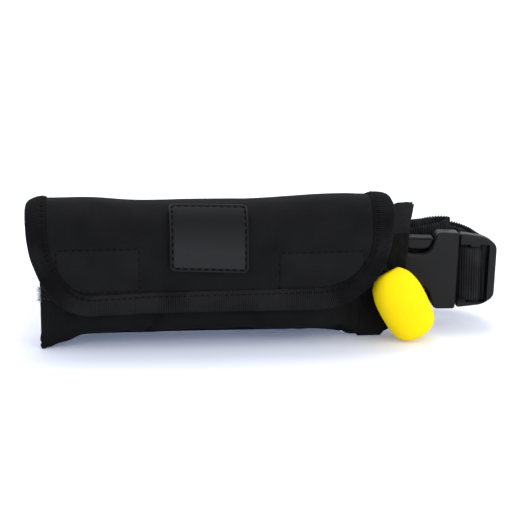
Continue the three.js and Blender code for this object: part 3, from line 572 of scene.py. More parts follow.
def cloth_material(
        name, low, high, pitch, depth, roughness=0.75, sheen=0.0, marking=0.05, ribs=False, painted_light=None):
    """Dull woven or ribbed cloth from two greys, with its thread pitch and depth in millimetres.

    marking says how much of the weave shows in its colour; painted_light adds painted light and shade to the
    paler grey's share.
    """
    material, tree, shader = start_material(name, roughness, sheen, CLOTH_SPECULAR)
    along, across = cloth_place(tree)
    weave = thread_wave(tree, along, pitch)
    if not ribs:
        weave = maths(tree, "MULTIPLY", weave, thread_wave(tree, across, pitch))
    share = maths(tree, "ADD", noise_value(tree, CLOTH_MOTTLE), maths(tree, "MULTIPLY", weave, marking))
    if painted_light is not None:
        share = maths(tree, "ADD", share, painted_light(tree, along))
    blend_colours(tree, shader, share, grey(low), grey(high))
    lint = maths(tree, "MULTIPLY", noise_value(tree, LINT_SCALE, 2.0), LINT_HEIGHT)
    raise_bump(tree, shader, maths(tree, "ADD", weave, lint), depth * MM)
    return material


def foot_painted_light(tree, along):
    """Painted light along the flap's foot and painted shade up its sides: paler grey along the foot, darker
    up the sides.
    """
    from_middle = maths(tree, "ABSOLUTE", maths(tree, "SUBTRACT", along, FOOT_MIDDLE * MM))
    past_foot = maths(tree, "MAXIMUM", maths(tree, "SUBTRACT", from_middle, FOOT_HALF * MM), 0.0)
    side = maths(tree, "MINIMUM", maths(tree, "MULTIPLY", past_foot, 1 / (FOOT_FADE * MM)), 1.0)
    return maths(tree, "SUBTRACT", FOOT_PAINTED_LIGHT, maths(tree, "MULTIPLY", side, SIDES_PAINTED_SHADE))


def mottle(tree):
    return noise_value(tree, MOULDED_MOTTLE)


def painted_patch_light(tree):
    """Painted shade at the patch's head fading to painted light at its foot: nothing at its head, one at its
    foot.
    """
    down = maths(tree, "MULTIPLY", cloth_place(tree)[1], -1 / (PATCH_HEIGHT * MM))
    return maths(tree, "ADD", down, 0.5)


def hard_material(name, low, high, roughness, specular, grain, depth, share=mottle):
    """Moulded stuff blended from two colours by a share, with the depth of its grain in millimetres."""
    material, tree, shader = start_material(name, roughness, specular=specular)
    blend_colours(tree, shader, share(tree), low, high)
    raise_bump(tree, shader, noise_value(tree, grain, 4.0), depth * MM)
    return material


NYLON = cloth_material("nylon", 0.0072, 0.0102, 0.5, 0.06)
# Paler cloth on the tab above its ledge, as painted light
LIT_TAB_NYLON = cloth_material("tab_nylon", 0.013, 0.021, 0.5, 0.06)
# Paler cloth inside the stitched boxes, as painted sheen where the tape behind presses it flat
BOX_SHEEN_NYLON = cloth_material("box_nylon", 0.0088, 0.0122, 0.5, 0.06)
TUNNEL_NYLON = cloth_material("tunnel_nylon", 0.009, 0.012, 0.6, 0.08)
# The binding has painted light along its foot and painted shade up its sides
GROSGRAIN = cloth_material(
    "grosgrain", 0.0045, 0.016, RIB_PITCH / 2, 0.1, marking=0.14, ribs=True, painted_light=foot_painted_light)
WEBBING = cloth_material(
    "webbing", 0.007, 0.03, 0.65, 0.2, roughness=0.65, sheen=0.02, marking=0.2, ribs=True)
CORD_BRAID = cloth_material("cord_braid", 0.006, 0.016, 0.8, 0.2, roughness=0.65, marking=0.2)
# Pale fibres, as a painted highlight where light from behind catches the loop tape's pile
BACKLIT_FUZZ = cloth_material("fuzz", 0.3, 0.5, 0.5, 0.02, roughness=0.9)
PILE = cloth_material("pile", 0.009, 0.013, 1.2, 0.4, roughness=0.85, sheen=0.05)
THREAD = cloth_material("thread", 0.0035, 0.006, 0.4, 0.05, roughness=0.6)
# The patch rubber is painted darker at its head and paler at its foot, as painted shade and light
RUBBER = hard_material("patch_rubber", grey(0.0105), grey(0.022), 0.6, 0.08, 1500, 0.03, painted_patch_light)
# Painted shade: the patch's rim and stitch groove are painted darker than its face
SHADED_RIM_RUBBER = hard_material("patch_rim", grey(0.008), grey(0.01), 0.5, 0.15, 1500, 0.03)
PLASTIC = hard_material("buckle_plastic", grey(0.0042), grey(0.006), 0.42, 0.2, 2600, 0.02)
FOAM = hard_material("toggle_foam", (0.98, 0.7, 0.001), (1.0, 0.77, 0.002), 0.7, 0.12, 900, 0.12)


# Flap surface
line_points = catmull_rom(FLAP_LINE, 80)
line_length = lengths(line_points)
line_tangent = unit(np.gradient(line_points, line_length, axis=0))
FLAP_LENGTH = line_length[-1]
FLAP_EDGE = BINDING_TAPE + GAP + 0.3
FOLD_FRONT = (10, 30)
BOX_SWELL = 0.3
BOX_SEAM = 0.4
BOX_SEAM_WIDTH = 1.1
HOOK_ROW_HEIGHT = 0.07
HOOK_ROW_PITCH = 2.1
PUCKER_REACH = 5
PUCKER_HEIGHT = 0.22
FLAP_WAVE = 0.55
FLAP_WRINKLE = 0.22
# Shares of the flap's line where its top ends and its front begins, and how much relief its top has
FLAP_TOP_END = 0.25
FLAP_FRONT_FROM = 0.4
TOP_RELIEF = 0.45


def flap_section(s, offset):
    y, z = (np.interp(s, line_length, column) for column in line_points.T)
    tangent_y, tangent_z = (np.interp(s, line_length, column) for column in line_tangent.T)
    return y + tangent_z * offset, z - tangent_y * offset


def folded(x, y, z):
    moved_x, moved_y, moved_z = (np.array(part, float) for part in np.broadcast_arrays(x, y, z))
    front = ease(-np.asarray(y), *FOLD_FRONT)
    for fold_x, fold_z, reach_x, reach_z, push_x, push_y, push_z in FOLDS:
        share = bell(x - fold_x, reach_x) * bell(z - fold_z, reach_z)
        moved_x += push_x * share
        moved_y += push_y * share * front
        moved_z += push_z * share
    return moved_x, moved_y, moved_z


def flap_place(x, s, offset):
    x, s, offset = np.broadcast_arrays(x, s, offset)
    return together(*folded(x, *flap_section(s, offset)))


def front_length(z, offset):
    """Length along the flap's line at which its front reaches a height."""
    s = np.linspace(FLAP_FRONT_FROM * FLAP_LENGTH, FLAP_LENGTH, 400)
    heights = flap_section(s, offset)[1]
    return np.interp(-np.asarray(z, float), -heights, s)


def corner_inset(rise, corner, edge):
    across, along = corner
    inside = np.clip(1 - rise / (along - edge), 0, 1)
    return (across - edge) * (1 - np.sqrt(1 - inside * inside))


def box_sides(box):
    """Left and right of a stitched box, and its top and bottom as lengths along the flap."""
    left, right, low, high = box
    return left, right, front_length(high, 0), front_length(low, 0)


def box_distance(x, s, box):
    """Signed distance to a stitched box's outline, negative inside it."""
    left, right, top, bottom = box_sides(box)
    across = np.abs(x - (left + right) / 2) - (right - left) / 2
    along = np.abs(s - (top + bottom) / 2) - (bottom - top) / 2
    outside = np.hypot(np.maximum(across, 0), np.maximum(along, 0))
    return outside + np.minimum(np.maximum(across, along), 0)


def flap_relief(x, s):
    """Height of the flap's wrinkles, stitched lines and puckers."""
    relief = FLAP_WAVE * ripple(x, s * 1.4, 34, 1) + FLAP_WRINKLE * ripple(x * 1.2 + s * 0.6, s, 13, 2)
    for box in BOXES:
        away = box_distance(x, s, box)
        relief += BOX_SWELL * ease(-away, 0, 7) - BOX_SEAM * bell(away, BOX_SEAM_WIDTH)
        hook_rows = np.sin(s * 2 * math.pi / HOOK_ROW_PITCH)
        relief += HOOK_ROW_HEIGHT * hook_rows * ease(-away, 0.5, 2)
    edge = np.minimum(FLAP_LENGTH - s, np.minimum(x + FLAP_HALF, FLAP_HALF - x)) - BINDING_WIDTH
    relief += PUCKER_HEIGHT * np.exp(-np.maximum(edge, 0) / PUCKER_REACH) * ripple(x, s, 5, 3)
    front = ease(s, FLAP_TOP_END * FLAP_LENGTH, FLAP_FRONT_FROM * FLAP_LENGTH)
    return relief * (TOP_RELIEF + (1 - TOP_RELIEF) * front)


def make_flap():
    lower = FLAP_LENGTH - FLAP_EDGE
    s = np.linspace(0, lower, FLAP_ROWS)[:, None]
    left = -FLAP_HALF + FLAP_EDGE + corner_inset(lower - s, FLAP_CORNER_LEFT, FLAP_EDGE)
    right = FLAP_HALF - FLAP_EDGE - corner_inset(lower - s, FLAP_CORNER_RIGHT, FLAP_EDGE)
    x = left + (right - left) * np.linspace(0, 1, FLAP_COLUMNS)[None, :]
    s = np.broadcast_to(s, x.shape)
    from_edge = np.minimum(np.minimum(x - left, right - x), lower - s)
    relief = flap_relief(x, s) * ease(from_edge, BINDING_WIDTH - 2, BINDING_WIDTH)
    outer = flap_place(x, s, FLAP_CLOTH / 2 + relief)
    inner = flap_place(x, s, -FLAP_CLOTH / 2 + 0.3 * relief)
    piece = sheet_piece("flap_cloth", outer, inner, NYLON, pairs(x, s))
    # Faces inside the stitched boxes take the paler cloth, as painted sheen
    in_box = np.minimum(*[box_distance(x, s, box) for box in BOXES])[:-1, :-1].ravel() < 0
    paint(piece, BOX_SHEEN_NYLON, np.nonzero(in_box)[0])
    return settle(piece, "nylon", "flap")


# Binding
def bound_edge():
    """Places and inward directions along the flap's edge, a quarter of a rib apart."""
    halves = []
    for sign, (corner_x, corner_s) in ((-1, FLAP_CORNER_LEFT), (1, FLAP_CORNER_RIGHT)):
        s = np.linspace(0, FLAP_LENGTH - corner_s, 120)
        side = together(sign * FLAP_HALF, s, -sign, 0)
        turn = np.linspace(0, math.pi / 2, 80)[1:]
        x = sign * (FLAP_HALF - corner_x * (1 - np.cos(turn)))
        s = FLAP_LENGTH - corner_s * (1 - np.sin(turn))
        inwards = together(sign * corner_s * np.cos(turn), corner_x * np.sin(turn))
        half = np.vstack([side, np.column_stack([x, s, -unit(inwards)])])
        halves.append(half if sign < 0 else half[::-1])
    edge = np.vstack(halves)
    along = lengths(edge[:, :2])
    wanted = np.linspace(0, along[-1], int(along[-1] / (RIB_PITCH / 4)))
    return wanted, at_lengths(edge, along, wanted)


def binding_place(edge, inset, offset):
    x, s, in_x, in_s = (edge[:, k][:, None] for k in range(4))
    wider = 1 + (BINDING_FOOT_WIDER - 1) * in_s ** 2
    across = inset * np.where(inset > BINDING_TAPE, wider, 1)
    return flap_place(x + in_x * across, s + in_s * across, offset)


def binding_fold(radius, turn):
    """Round part of the tape's section at the flap's edge, as inset and offset."""
    return [(BINDING_OUTSIDE - radius * math.sin(a), radius * math.cos(a)) for a in turn]


def make_binding():
    along, edge = bound_edge()
    straight_from = BINDING_OUTSIDE + LEAF_STEP
    pressed_from = BINDING_WIDTH - BINDING_PRESSED
    pressed = np.linspace(BINDING_WIDTH, pressed_from, 6)
    leaf = np.concatenate([pressed, np.linspace(pressed_from - LEAF_STEP, straight_from, 9)])
    height = BINDING_OUTSIDE - PRESS_DEPTH * ease(leaf, pressed_from, BINDING_WIDTH)
    turn = np.linspace(0, math.pi, 11)
    outer = [*zip(leaf, height), *binding_fold(BINDING_OUTSIDE, turn), *zip(leaf[::-1], -height[::-1])]
    lining = np.linspace(BINDING_WIDTH, straight_from, 4)
    inner = [(inset, BINDING_INSIDE) for inset in lining]
    inner += binding_fold(BINDING_INSIDE, turn[::2])
    inner += [(inset, -BINDING_INSIDE) for inset in lining[::-1]]
    profile = np.array(outer + inner[::-1])
    inset, offset = profile[:, 0][None, :], profile[:, 1][None, :]
    shown = (np.arange(len(profile)) < len(outer)).astype(float)[None, :]
    row = along[:, None]
    foot = SIDE_RIBS + (1 - SIDE_RIBS) * edge[:, 3][:, None] ** 2
    rib = RIB_HEIGHT * foot * ribbing(row, RIB_PITCH)
    from_seam = inset - BINDING_STITCH_INSET
    dip = -SEAM_DIP * bell(from_seam, SEAM_DIP_WIDTH)
    dip = dip + SEAM_PUCKER * ribbing(row, sum(BINDING_STITCH[:2])) * bell(from_seam, SEAM_PUCKER_WIDTH)
    wave = BINDING_WAVE * ripple(*np.broadcast_arrays(row, inset), BINDING_WAVE_SCALE, 4)
    from_fold = np.hypot(np.minimum(inset - BINDING_OUTSIDE, 0), offset)
    grown = 1 + shown * (rib + dip + wave) / np.maximum(from_fold, 0.5)
    around = np.where(inset < BINDING_OUTSIDE, BINDING_OUTSIDE + (inset - BINDING_OUTSIDE) * grown, inset)
    points = binding_place(edge, around, offset * grown)
    cloth = pairs(row, np.arange(len(profile))[None, :] * 0.8)
    return settle(tube_piece("binding_tape", points, GROSGRAIN, cloth), "grosgrain", "flap_binding"), edge


# Stitches
def stitch_rings(base, lifted, sizes):
    """Tubes of a row of stitches along a line, given the line and the same line 1 mm higher."""
    stitch, gap, radius = sizes
    along = lengths(base)
    count = max(int(along[-1] // (stitch + gap)), 1)
    step = along[-1] / count
    share = np.linspace(0, 1, STITCH_RINGS)
    swell = np.sqrt(np.clip(1 - (2 * share - 1) ** 4, 0.02, 1))
    tubes = []
    for k in range(count):
        wanted = k * step + gap / 2 + share * (step - gap)
        middle = at_lengths(base, along, wanted)
        up = unit(at_lengths(lifted - base, along, wanted))
        side = unit(np.cross(np.gradient(middle, axis=0), up))
        middle = middle + up * (radius * (STITCH_ARCH * swell - STITCH_SINK))[:, None]
        tubes.append(middle[:, None] + spokes(STITCH_SIDES, side, up) * (radius * swell)[:, None, None])
    return tubes


def make_stitches(name, rows, slot):
    """One piece from rows of line, lifted line and stitch sizes."""
    return tubes_piece(name, [rings for row in rows for rings in stitch_rings(*row)], THREAD, slot)


def on_flap(x, s, height):
    return flap_place(x, s, FLAP_CLOTH / 2 + flap_relief(x, s) + height)


def box_rows():
    rows = []
    for box in BOXES:
        left, right, top, bottom = box_sides(box)
        corners = [(left, top), (right, top), (right, bottom), (left, bottom)]
        for (x0, s0), (x1, s1) in zip(corners, corners[1:] + corners[:1]):
            x, s = np.linspace(x0, x1, 80), np.linspace(s0, s1, 80)
            rows.append((on_flap(x, s, 0), on_flap(x, s, 1), BOX_STITCH))
    return rows


def binding_rows(edge):
    inset = np.array([[BINDING_STITCH_INSET]])
    rows = []
    for sign in (1, -1):
        base, lifted = (
            binding_place(edge, inset, sign * (BINDING_OUTSIDE + height))[:, 0] for height in (-0.2, 0.8))
        rows.append((base, lifted, BINDING_STITCH))
    return rows


# Patch
PATCH_BASE = FLAP_CLOTH / 2 + PATCH_SEAT
PATCH_MIDDLE = float(front_length(PATCH_BOTTOM_Z, PATCH_BASE)) - PATCH_HEIGHT / 2
PATCH_STITCH_HEIGHT = 1.25


def patch_outline(inset):
    half_x, half_s = PATCH_WIDTH / 2 - inset, PATCH_HEIGHT / 2 - inset
    radius = max(PATCH_CORNER - inset, 0.4)
    arcs = []
    for quarter, (a, b) in enumerate(((1, 1), (-1, 1), (-1, -1), (1, -1))):
        angle = np.linspace(0, math.pi / 2, 10) + quarter * math.pi / 2
        centre = np.array([a * (half_x - radius), b * (half_s - radius)])
        arcs.append(centre + radius * together(np.cos(angle), np.sin(angle)))
    share = np.linspace(0, 1, 28)[1:-1, None]
    points = []
    for arc, following in zip(arcs, arcs[1:] + arcs[:1]):
        points += [arc, arc[-1] + (following[0] - arc[-1]) * share]
    return np.vstack(points)


def on_patch(flat, height):
    across, along = flat[..., 0], flat[..., 1]
    up = along + across * PATCH_SLOPE
    return flap_place(PATCH_X + across, PATCH_MIDDLE - up, PATCH_BASE + height)


def make_patch():
    face_height = max(PATCH_PROFILE)[1]
    profile = [(inset, 0) for inset in PATCH_BACK_INSETS] + PATCH_PROFILE
    profile += [(inset, face_height) for inset in PATCH_FACE_INSETS]
    flat = [patch_outline(inset) for inset, _ in profile]
    rings = np.array([on_patch(outline, height) for outline, (_, height) in zip(flat, profile)])
    piece = tube_piece("rubber_patch", rings, RUBBER, np.vstack(flat))
    # The rim and the stitch groove take the darker rubber, as painted shade
    rim_rows = len(PATCH_BACK_INSETS) + sum(inset <= PATCH_SHADED_RIM for inset, _ in PATCH_PROFILE)
    paint(piece, SHADED_RIM_RUBBER, range(rim_rows * rings.shape[1]))
    return settle(piece, "patch_rubber", "label_patch")


def patch_rows():
    outline = patch_outline(PATCH_STITCH_INSET)
    outline = np.vstack([outline, outline[:1]])
    base, lifted = (on_patch(outline, PATCH_STITCH_HEIGHT + more) for more in (0, 1))
    return [(base, lifted, PATCH_STITCH)]


# Pouch
HOOK_OUTER = -FLAP_CLOTH / 2 - BINDING_TAPE - 2 * GAP
HOOK_INNER = HOOK_OUTER - TAPE_PILE
LOOP_OUTER = HOOK_INNER - GAP
LOOP_INNER = LOOP_OUTER - TAPE_PILE
POUCH_FRONT = LOOP_INNER - GAP
AROUND = 150
# Runs of sections along the pouch: from, to, how many
POUCH_RUNS = ((-89, -60, 46), (-59, 60, 120), (60.8, 110, 66))
CLOTH_STEP = 1.3
LINING_LOW_Z = 0.2
POUCH_WAVE = 0.9
POUCH_WRINKLE = 0.5
# Where the relief comes in from the back, and where it fades upwards and to the right
RELIEF_DEPTHS = (6, 14)
RELIEF_FADE_Z = (19, 27)
RELIEF_FADE_X = (90, 97)
# Long fold low on the front, leaning to the right
FRONT_FOLD_X = -34.5
FRONT_FOLD_LEAN = 0.43
FRONT_FOLD_DEPTH = 1.6
FRONT_FOLD_WIDTH = 2.5
# Rays of small folds from the lower corners: x, which way they spread, depth
CORNER_RAYS = ((-87, 1, 0.9), (88, -1, 0.5))
RAY_COUNT = 9
RAY_REACH = 20
RAY_WIDTH = 13
# Where the back's foot sinks to the floor, and how far at most
REST_Z = 0.3
REST_RIGHT_HIGHER = 1.5
REST_RISE_X = (76, 82)
SINK_MOST = 3.4
SINK_FADE_Z = (3, 16)
# Tab at the right end
TAB_START_X = (92, 96)
# Where the tab's cloth starts to be painted paler, as painted light
TAB_PAINTED_LIGHT_FROM_X = 95
TAB_LAYERS = (-0.7, 1.6)
TAB_PARTED_X = (96, 104)
TAB_PARTED_FROM_Z = 60
TAB_LEDGE_Z = 56
TAB_LEDGE_DEPTH = 2.6
TAB_LEDGE_FADE_Z = (30, 44)
TAB_CREASE_Z = 60.5
TAB_CREASE_HEIGHT = 0.8
TAB_CREASE_WIDTH = 0.8
TAB_WAVE = 0.5
TAB_CRUMPLE = 0.6
TAB_WAVE_FADE_Z = (4, 12)
# Heights on the tab's end, and how far it slants outwards there
TAB_SLANT = ((40, -1.6), (TAB_LEDGE_Z, -1.4), (TAB_CREASE_Z, -0.8), (EAR_TOP_Z, 0.7))
TAB_SLANT_X = (98, 110)
TAB_SLANT_Z = (30, 40)
TAB_EDGE_HIGHER = 0.9
TAB_EDGE_RAGGED = 0.4
TAB_EDGE_REACH = 5
TAB_NICK_X = 99.5
TAB_NICK_DEPTH = 0.8
TAB_NICK_WIDTH = 2.6


def front_y(z):
    return flap_section(front_length(np.minimum(z, MOUTH_FRONT_Z), POUCH_FRONT), POUCH_FRONT)[0]


def pouch_value(x, column):
    return np.interp(x, POUCH_SECTIONS[:, 0], POUCH_SECTIONS[:, column])


def pouch_outline(x):
    """The filled section from the front's top, under the pouch and up to the back's top, evenly spaced."""
    full, toe, heel = (float(pouch_value(x, column)) for column in (1, 2, 3))
    front_top = EAR_TOP_Z + (MOUTH_FRONT_Z - EAR_TOP_Z) * full
    back_top = EAR_TOP_Z + (MOUTH_BACK_Z - EAR_TOP_Z) * full
    z = np.linspace(front_top, FRONT_FOOT_Z, 50)
    front = together(front_y(z), z)
    foot_y = front[-1, 0]
    turn = np.linspace(0, math.pi / 2, 16)[1:]
    early, late = 1 - np.cos(turn), np.sin(turn)
    bend = together(foot_y + (TOE_Y - foot_y) * early, FRONT_FOOT_Z + (toe - FRONT_FOOT_Z) * late)
    middle = ((TOE_Y + HEEL_FRONT_Y) / 2, heel + (toe - heel) * UNDERSIDE_SAG)
    sag = catmull_rom([(TOE_Y, toe), middle, (HEEL_FRONT_Y, heel), (HEEL_BACK_Y, heel)], 8)[1:]
    round_back = together(HEEL_BACK_Y * (1 - late), heel + HEEL_RISE * early)
    up = np.linspace(heel + HEEL_RISE, back_top, 40)[1:]
    return evenly(np.vstack([front, bend, sag, round_back, together(0, up)]), AROUND)


def pouch_place(x, y, z):
    full = pouch_value(x, 1)
    rise = ease(z, 0, RIGHT_SEAM_RISE)
    seam = np.where(x < 0, LEFT_SEAM_Y, RIGHT_SEAM_TOE_Y + (RIGHT_SEAM_TOP_Y - RIGHT_SEAM_TOE_Y) * rise)
    flat = seam + (y / POUCH_DEPTH + 0.5) * SEAM_THICK
    lean = LEAN_TOE * np.exp(-np.maximum(z, 0) / LEAN_FADE_Z)
    leaned = x - lean * ease(x, LEAN_FROM_X, LEAN_TO_X)
    _, moved_y, moved_z = folded(leaned, y, z)
    drawn = flat + (y - flat) * full
    return together(leaned, drawn + (moved_y - y) * full, z + (moved_z - z) * full)


def pouch_relief(grid, x):
    """Folds of the pouch's cloth where it shows, fading under the tapes and the tunnel."""
    y, z = grid[..., 1], grid[..., 2]
    relief = POUCH_WAVE * ripple(x, z * 1.6, 15, 5) + POUCH_WRINKLE * ripple(x + z, z - x * 0.4, 7, 6)
    relief -= FRONT_FOLD_DEPTH * bell(x - FRONT_FOLD_X - FRONT_FOLD_LEAN * z, FRONT_FOLD_WIDTH)
    for corner_x, side, depth in CORNER_RAYS:
        angle = np.arctan2(z, side * (x - corner_x))
        relief += depth * np.cos(RAY_COUNT * angle) * bell(np.hypot(x - corner_x, z) - RAY_REACH, RAY_WIDTH)
    shown = ease(-y, *RELIEF_DEPTHS) * (1 - ease(z, *RELIEF_FADE_Z))
    return relief * shown * (1 - ease(x, *RELIEF_FADE_X))


def shape_tab(grid, x):
    """The right end's tab: parted layers and an uneven top edge, a crease and a ledge lower down."""
    tab = ease(x, *TAB_START_X)
    z = grid[..., 2]
    columns = grid.shape[1]
    front = (np.arange(columns) < columns / 2)[None, :]
    part = np.where(front, *TAB_LAYERS) * ease(z, TAB_PARTED_FROM_Z, EAR_TOP_Z) * ease(x, *TAB_PARTED_X)
    below_ledge = 1 - ease(z, TAB_LEDGE_Z - 0.8, TAB_LEDGE_Z + 0.6)
    ledge = -TAB_LEDGE_DEPTH * below_ledge * ease(z, *TAB_LEDGE_FADE_Z)
    crease = TAB_CREASE_HEIGHT * bell(z - TAB_CREASE_Z, TAB_CREASE_WIDTH)
    crumpled = 1 - ease(z, TAB_LEDGE_Z - 3, TAB_LEDGE_Z)
    wave = TAB_WAVE * ripple(x, z, 9, 8) + TAB_CRUMPLE * ripple(x, z, 3.2, 9) * crumpled
    wave = wave * ease(z, *TAB_WAVE_FADE_Z)
    grid[..., 1] += tab * (part + np.where(front, ledge + crease, 0) + wave)
    slant = np.interp(z, *zip(*TAB_SLANT))
    grid[..., 0] += slant * ease(x, *TAB_SLANT_X) * ease(z, *TAB_SLANT_Z)
    higher = TAB_EDGE_HIGHER + TAB_EDGE_RAGGED * ripple(*np.broadcast_arrays(x, 3.0 * front), 2.2, 10)
    higher = higher - TAB_NICK_DEPTH * bell(x - TAB_NICK_X, TAB_NICK_WIDTH)
    grid[..., 2] += tab * higher * ease(z, EAR_TOP_Z - TAB_EDGE_REACH, EAR_TOP_Z)
    return grid


def settled(grid, x, depth):
    """The pouch's cloth sinks to the floor along its back, less so near its right corner."""
    z = grid[..., 2]
    back = ease(depth, HEEL_FRONT_Y, HEEL_BACK_Y)
    low = 1 - ease(z, *SINK_FADE_Z)
    rest = REST_Z + REST_RIGHT_HIGHER * ease(x, *REST_RISE_X)
    grid[..., 2] = z - np.clip(z - rest, 0, SINK_MOST) * back * low
    return grid


def make_pouch():
    x_line = np.concatenate([np.linspace(*run) for run in POUCH_RUNS])
    outlines = np.array([pouch_outline(x) for x in x_line])
    x = np.broadcast_to(x_line[:, None], outlines.shape[:2])
    smooth = pouch_place(x, outlines[..., 0], outlines[..., 1])
    normal = grid_normals(smooth)
    outward = -np.sign(normal[:, AROUND // 6, 1].mean())
    outer = smooth + normal * outward * pouch_relief(smooth, x)[..., None]
    outer = settled(shape_tab(outer, x), x, outlines[..., 0])
    outer[..., 2] = np.maximum(outer[..., 2], 0)
    inner = outer - grid_normals(outer) * outward * POUCH_WALL
    inner[..., 2] = np.maximum(inner[..., 2], LINING_LOW_Z)
    piece = sheet_piece("pouch_cloth", outer, inner, NYLON, pairs(x, np.arange(AROUND)[None, :] * CLOTH_STEP))
    # The tab above its ledge takes the paler cloth, as painted light
    lit_x, _, lit_z = metres((TAB_PAINTED_LIGHT_FROM_X, 0, TAB_LEDGE_Z))
    centres = [(face.center.x, face.center.z) for face in piece.data.polygons]
    paint(piece, LIT_TAB_NYLON, [k for k, (x, z) in enumerate(centres) if x > lit_x and z > lit_z])
    return settle(piece, "nylon", "pouch")


# Hook and loop tape
PILE_HEIGHT = 0.1
PILE_SCALE = 1.4


def make_tapes():
    made = []
    for name, pad in HOOK_PADS.items():
        top, bottom = (front_length(pad[end], HOOK_OUTER) for end in ("high", "low"))
        s = np.linspace(top, bottom, 40)[:, None]
        x, s = np.broadcast_arrays(np.linspace(pad["left"], pad["right"], 60)[None, :], s)
        pile = PILE_HEIGHT * ripple(x, s, PILE_SCALE, 12)
        outer, inner = flap_place(x, s, HOOK_OUTER), flap_place(x, s, HOOK_INNER + pile)
        piece = sheet_piece(name + "_tape", outer, inner, PILE, pairs(x, s))
        made.append(settle(piece, "hook_tape", name))
    z = np.linspace(LOOP_HIGH, LOOP_LOW, 40)[:, None]
    x, z = np.broadcast_arrays(np.linspace(LOOP_LEFT, LOOP_RIGHT, 200)[None, :], z)
    inner = pouch_place(x, front_y(z), z)
    inner[..., 1] -= GAP
    outer = inner.copy()
    outer[..., 1] -= TAPE_PILE + PILE_HEIGHT * ripple(x, z, PILE_SCALE, 13)
    piece = sheet_piece("loop_tape", outer, inner, PILE, pairs(x, z))
    made.append(settle(piece, "loop_tape", "loop_strip"))
    return made


# Loose fibres
FIBRE_CURL = 0.35
FIBRE_TAPER = 0.6
FUZZ_COUNT = 130
FUZZ_RADIUS = 0.09
FUZZ_Z = (25.6, 33.4)
FUZZ_DEPTHS = (0.1, 1.3)
FUZZ_LENGTHS = (0.8, 2.8)
FRAY_COUNT = 26
FRAY_RADIUS = 0.1
FRAY_X = (96, 109)
FRAY_DEPTHS = (-2.4, 2.6)
FRAY_LENGTHS = (0.8, 1.9)
FRAY_SUNK = 0.2


def spread(low, high, count):
    return np.array([random.uniform(low, high) for _ in range(count)])


def make_fibres(name, starts, directions, sizes, radius, material, slot):
    """Short curled fibres, each from its start along its direction."""
    share = np.linspace(0, 1, FIBRE_RINGS)[:, None]
    thickness = (radius * (1 - FIBRE_TAPER * share))[..., None]
    tubes = []
    for start, direction, size in zip(starts, unit(directions), sizes):
        curl = spread(-1, 1, 3)
        middle = start + size * (direction * share + FIBRE_CURL * curl * share ** 2)
        tubes.append(middle[:, None] + spokes(FIBRE_SIDES, *cross_axes(direction)) * thickness)
    return tubes_piece(name, tubes, material, slot)


def make_fuzz():
    """Pile at the loop tape's left end, below the flap's corner, painted pale as a painted highlight of light
    from behind.
    """
    z = spread(*FUZZ_Z, FUZZ_COUNT)
    starts = pouch_place(np.full(FUZZ_COUNT, LOOP_LEFT), front_y(z), z)
    starts[:, 1] -= spread(*FUZZ_DEPTHS, FUZZ_COUNT)
    directions = np.array(
        [(-1, random.uniform(-0.5, 0.3), random.uniform(-0.7, 0.7)) for _ in range(FUZZ_COUNT)])
    sizes = spread(*FUZZ_LENGTHS, FUZZ_COUNT)
    return make_fibres("loop_fuzz", starts, directions, sizes, FUZZ_RADIUS, BACKLIT_FUZZ, "loop_tape")


def make_fray():
    """Threads that have come loose along the tab's cut edge."""
    x = spread(*FRAY_X, FRAY_COUNT)
    y = RIGHT_SEAM_TOP_Y + spread(*FRAY_DEPTHS, FRAY_COUNT)
    starts = together(x, y, EAR_TOP_Z - FRAY_SUNK)
    directions = np.array([(random.uniform(-1, 1), random.uniform(-0.4, 0.4), 1) for _ in range(FRAY_COUNT)])
    sizes = spread(*FRAY_LENGTHS, FRAY_COUNT)
    make_fibres("tab_fray", starts, directions, sizes, FRAY_RADIUS, THREAD, "nylon")


# Belt
def make_belt():
    dense = catmull_rom(BELT_ROUTE, 30)
    total = lengths(dense)[-1]
    count = int(total / (BELT_RIB / 4)) + 1
    route = evenly(dense, count)
    route[:, 2] = np.maximum(route[:, 2], 0)
    along = np.linspace(0, total, count)[:, None]
    forward = unit(np.gradient(route, axis=0) * [1, 1, 0])
    side = np.cross(forward, UP)
    half = BELT_THICK / 2
    face = np.linspace(BELT_ROUND, BELT_WIDTH - BELT_ROUND, 14)
    turn = np.linspace(0, math.pi, 5)[1:-1]
    upper = [(half * math.cos(a), BELT_WIDTH - BELT_ROUND + BELT_ROUND * math.sin(a)) for a in turn]
    profile = [(half, z) for z in face] + upper
    profile += [(-out, BELT_WIDTH - z) for out, z in profile]
    profile = np.array(profile)
    out, rise = profile[None, :, 0], profile[None, :, 1]
    from_middle = rise - BELT_WIDTH / 2
    edge = np.maximum(np.abs(from_middle) - (BELT_WIDTH / 2 - BELT_EDGE_REACH), 0) / BELT_EDGE_REACH
    rib = ribbing(along, BELT_RIB)
    from_turn = np.linalg.norm(route[:, :2] - BELT_TURN, axis=1)[:, None]
    behind_frame = ease(route[:, 1], *BELT_HANG_DEPTHS)[:, None]
    hang = BELT_HANG * behind_frame * bell(from_turn, BELT_TURN_REACH)
    across = out * (1 + BELT_RIB_HEIGHT * rib - BELT_EDGE_THINNER * edge)
    height = rise + BELT_SCALLOP * rib * edge * np.sign(from_middle) - hang * (1 - rise / BELT_WIDTH)
    points = route[:, None] + side[:, None] * across[..., None] + UP * height[..., None]
    points[..., 2] = np.maximum(points[..., 2], 0)
    return settle(tube_piece("belt_webbing", points, WEBBING, pairs(along, rise)), "webbing", "belt"), total


# Belt tunnel
def tunnel_outline(offset):
    """Section of one side of the panel, as y and z, from its lower hem to its upper one."""
    inner = GAP + offset
    room = TUNNEL_ROOM + offset
    half = [
        (inner, -TUNNEL_SLOPE - TUNNEL_HEM), (inner, -TUNNEL_SLOPE - 0.4), (inner + 0.3, -TUNNEL_SLOPE),
        (room - 0.3, 0), (room, 0.8)]
    corners = [(y, TUNNEL_FLAT_LOW + z) for y, z in half] + [(y, TUNNEL_FLAT_HIGH - z) for y, z in half[::-1]]
    return evenly(np.array(corners), 90)


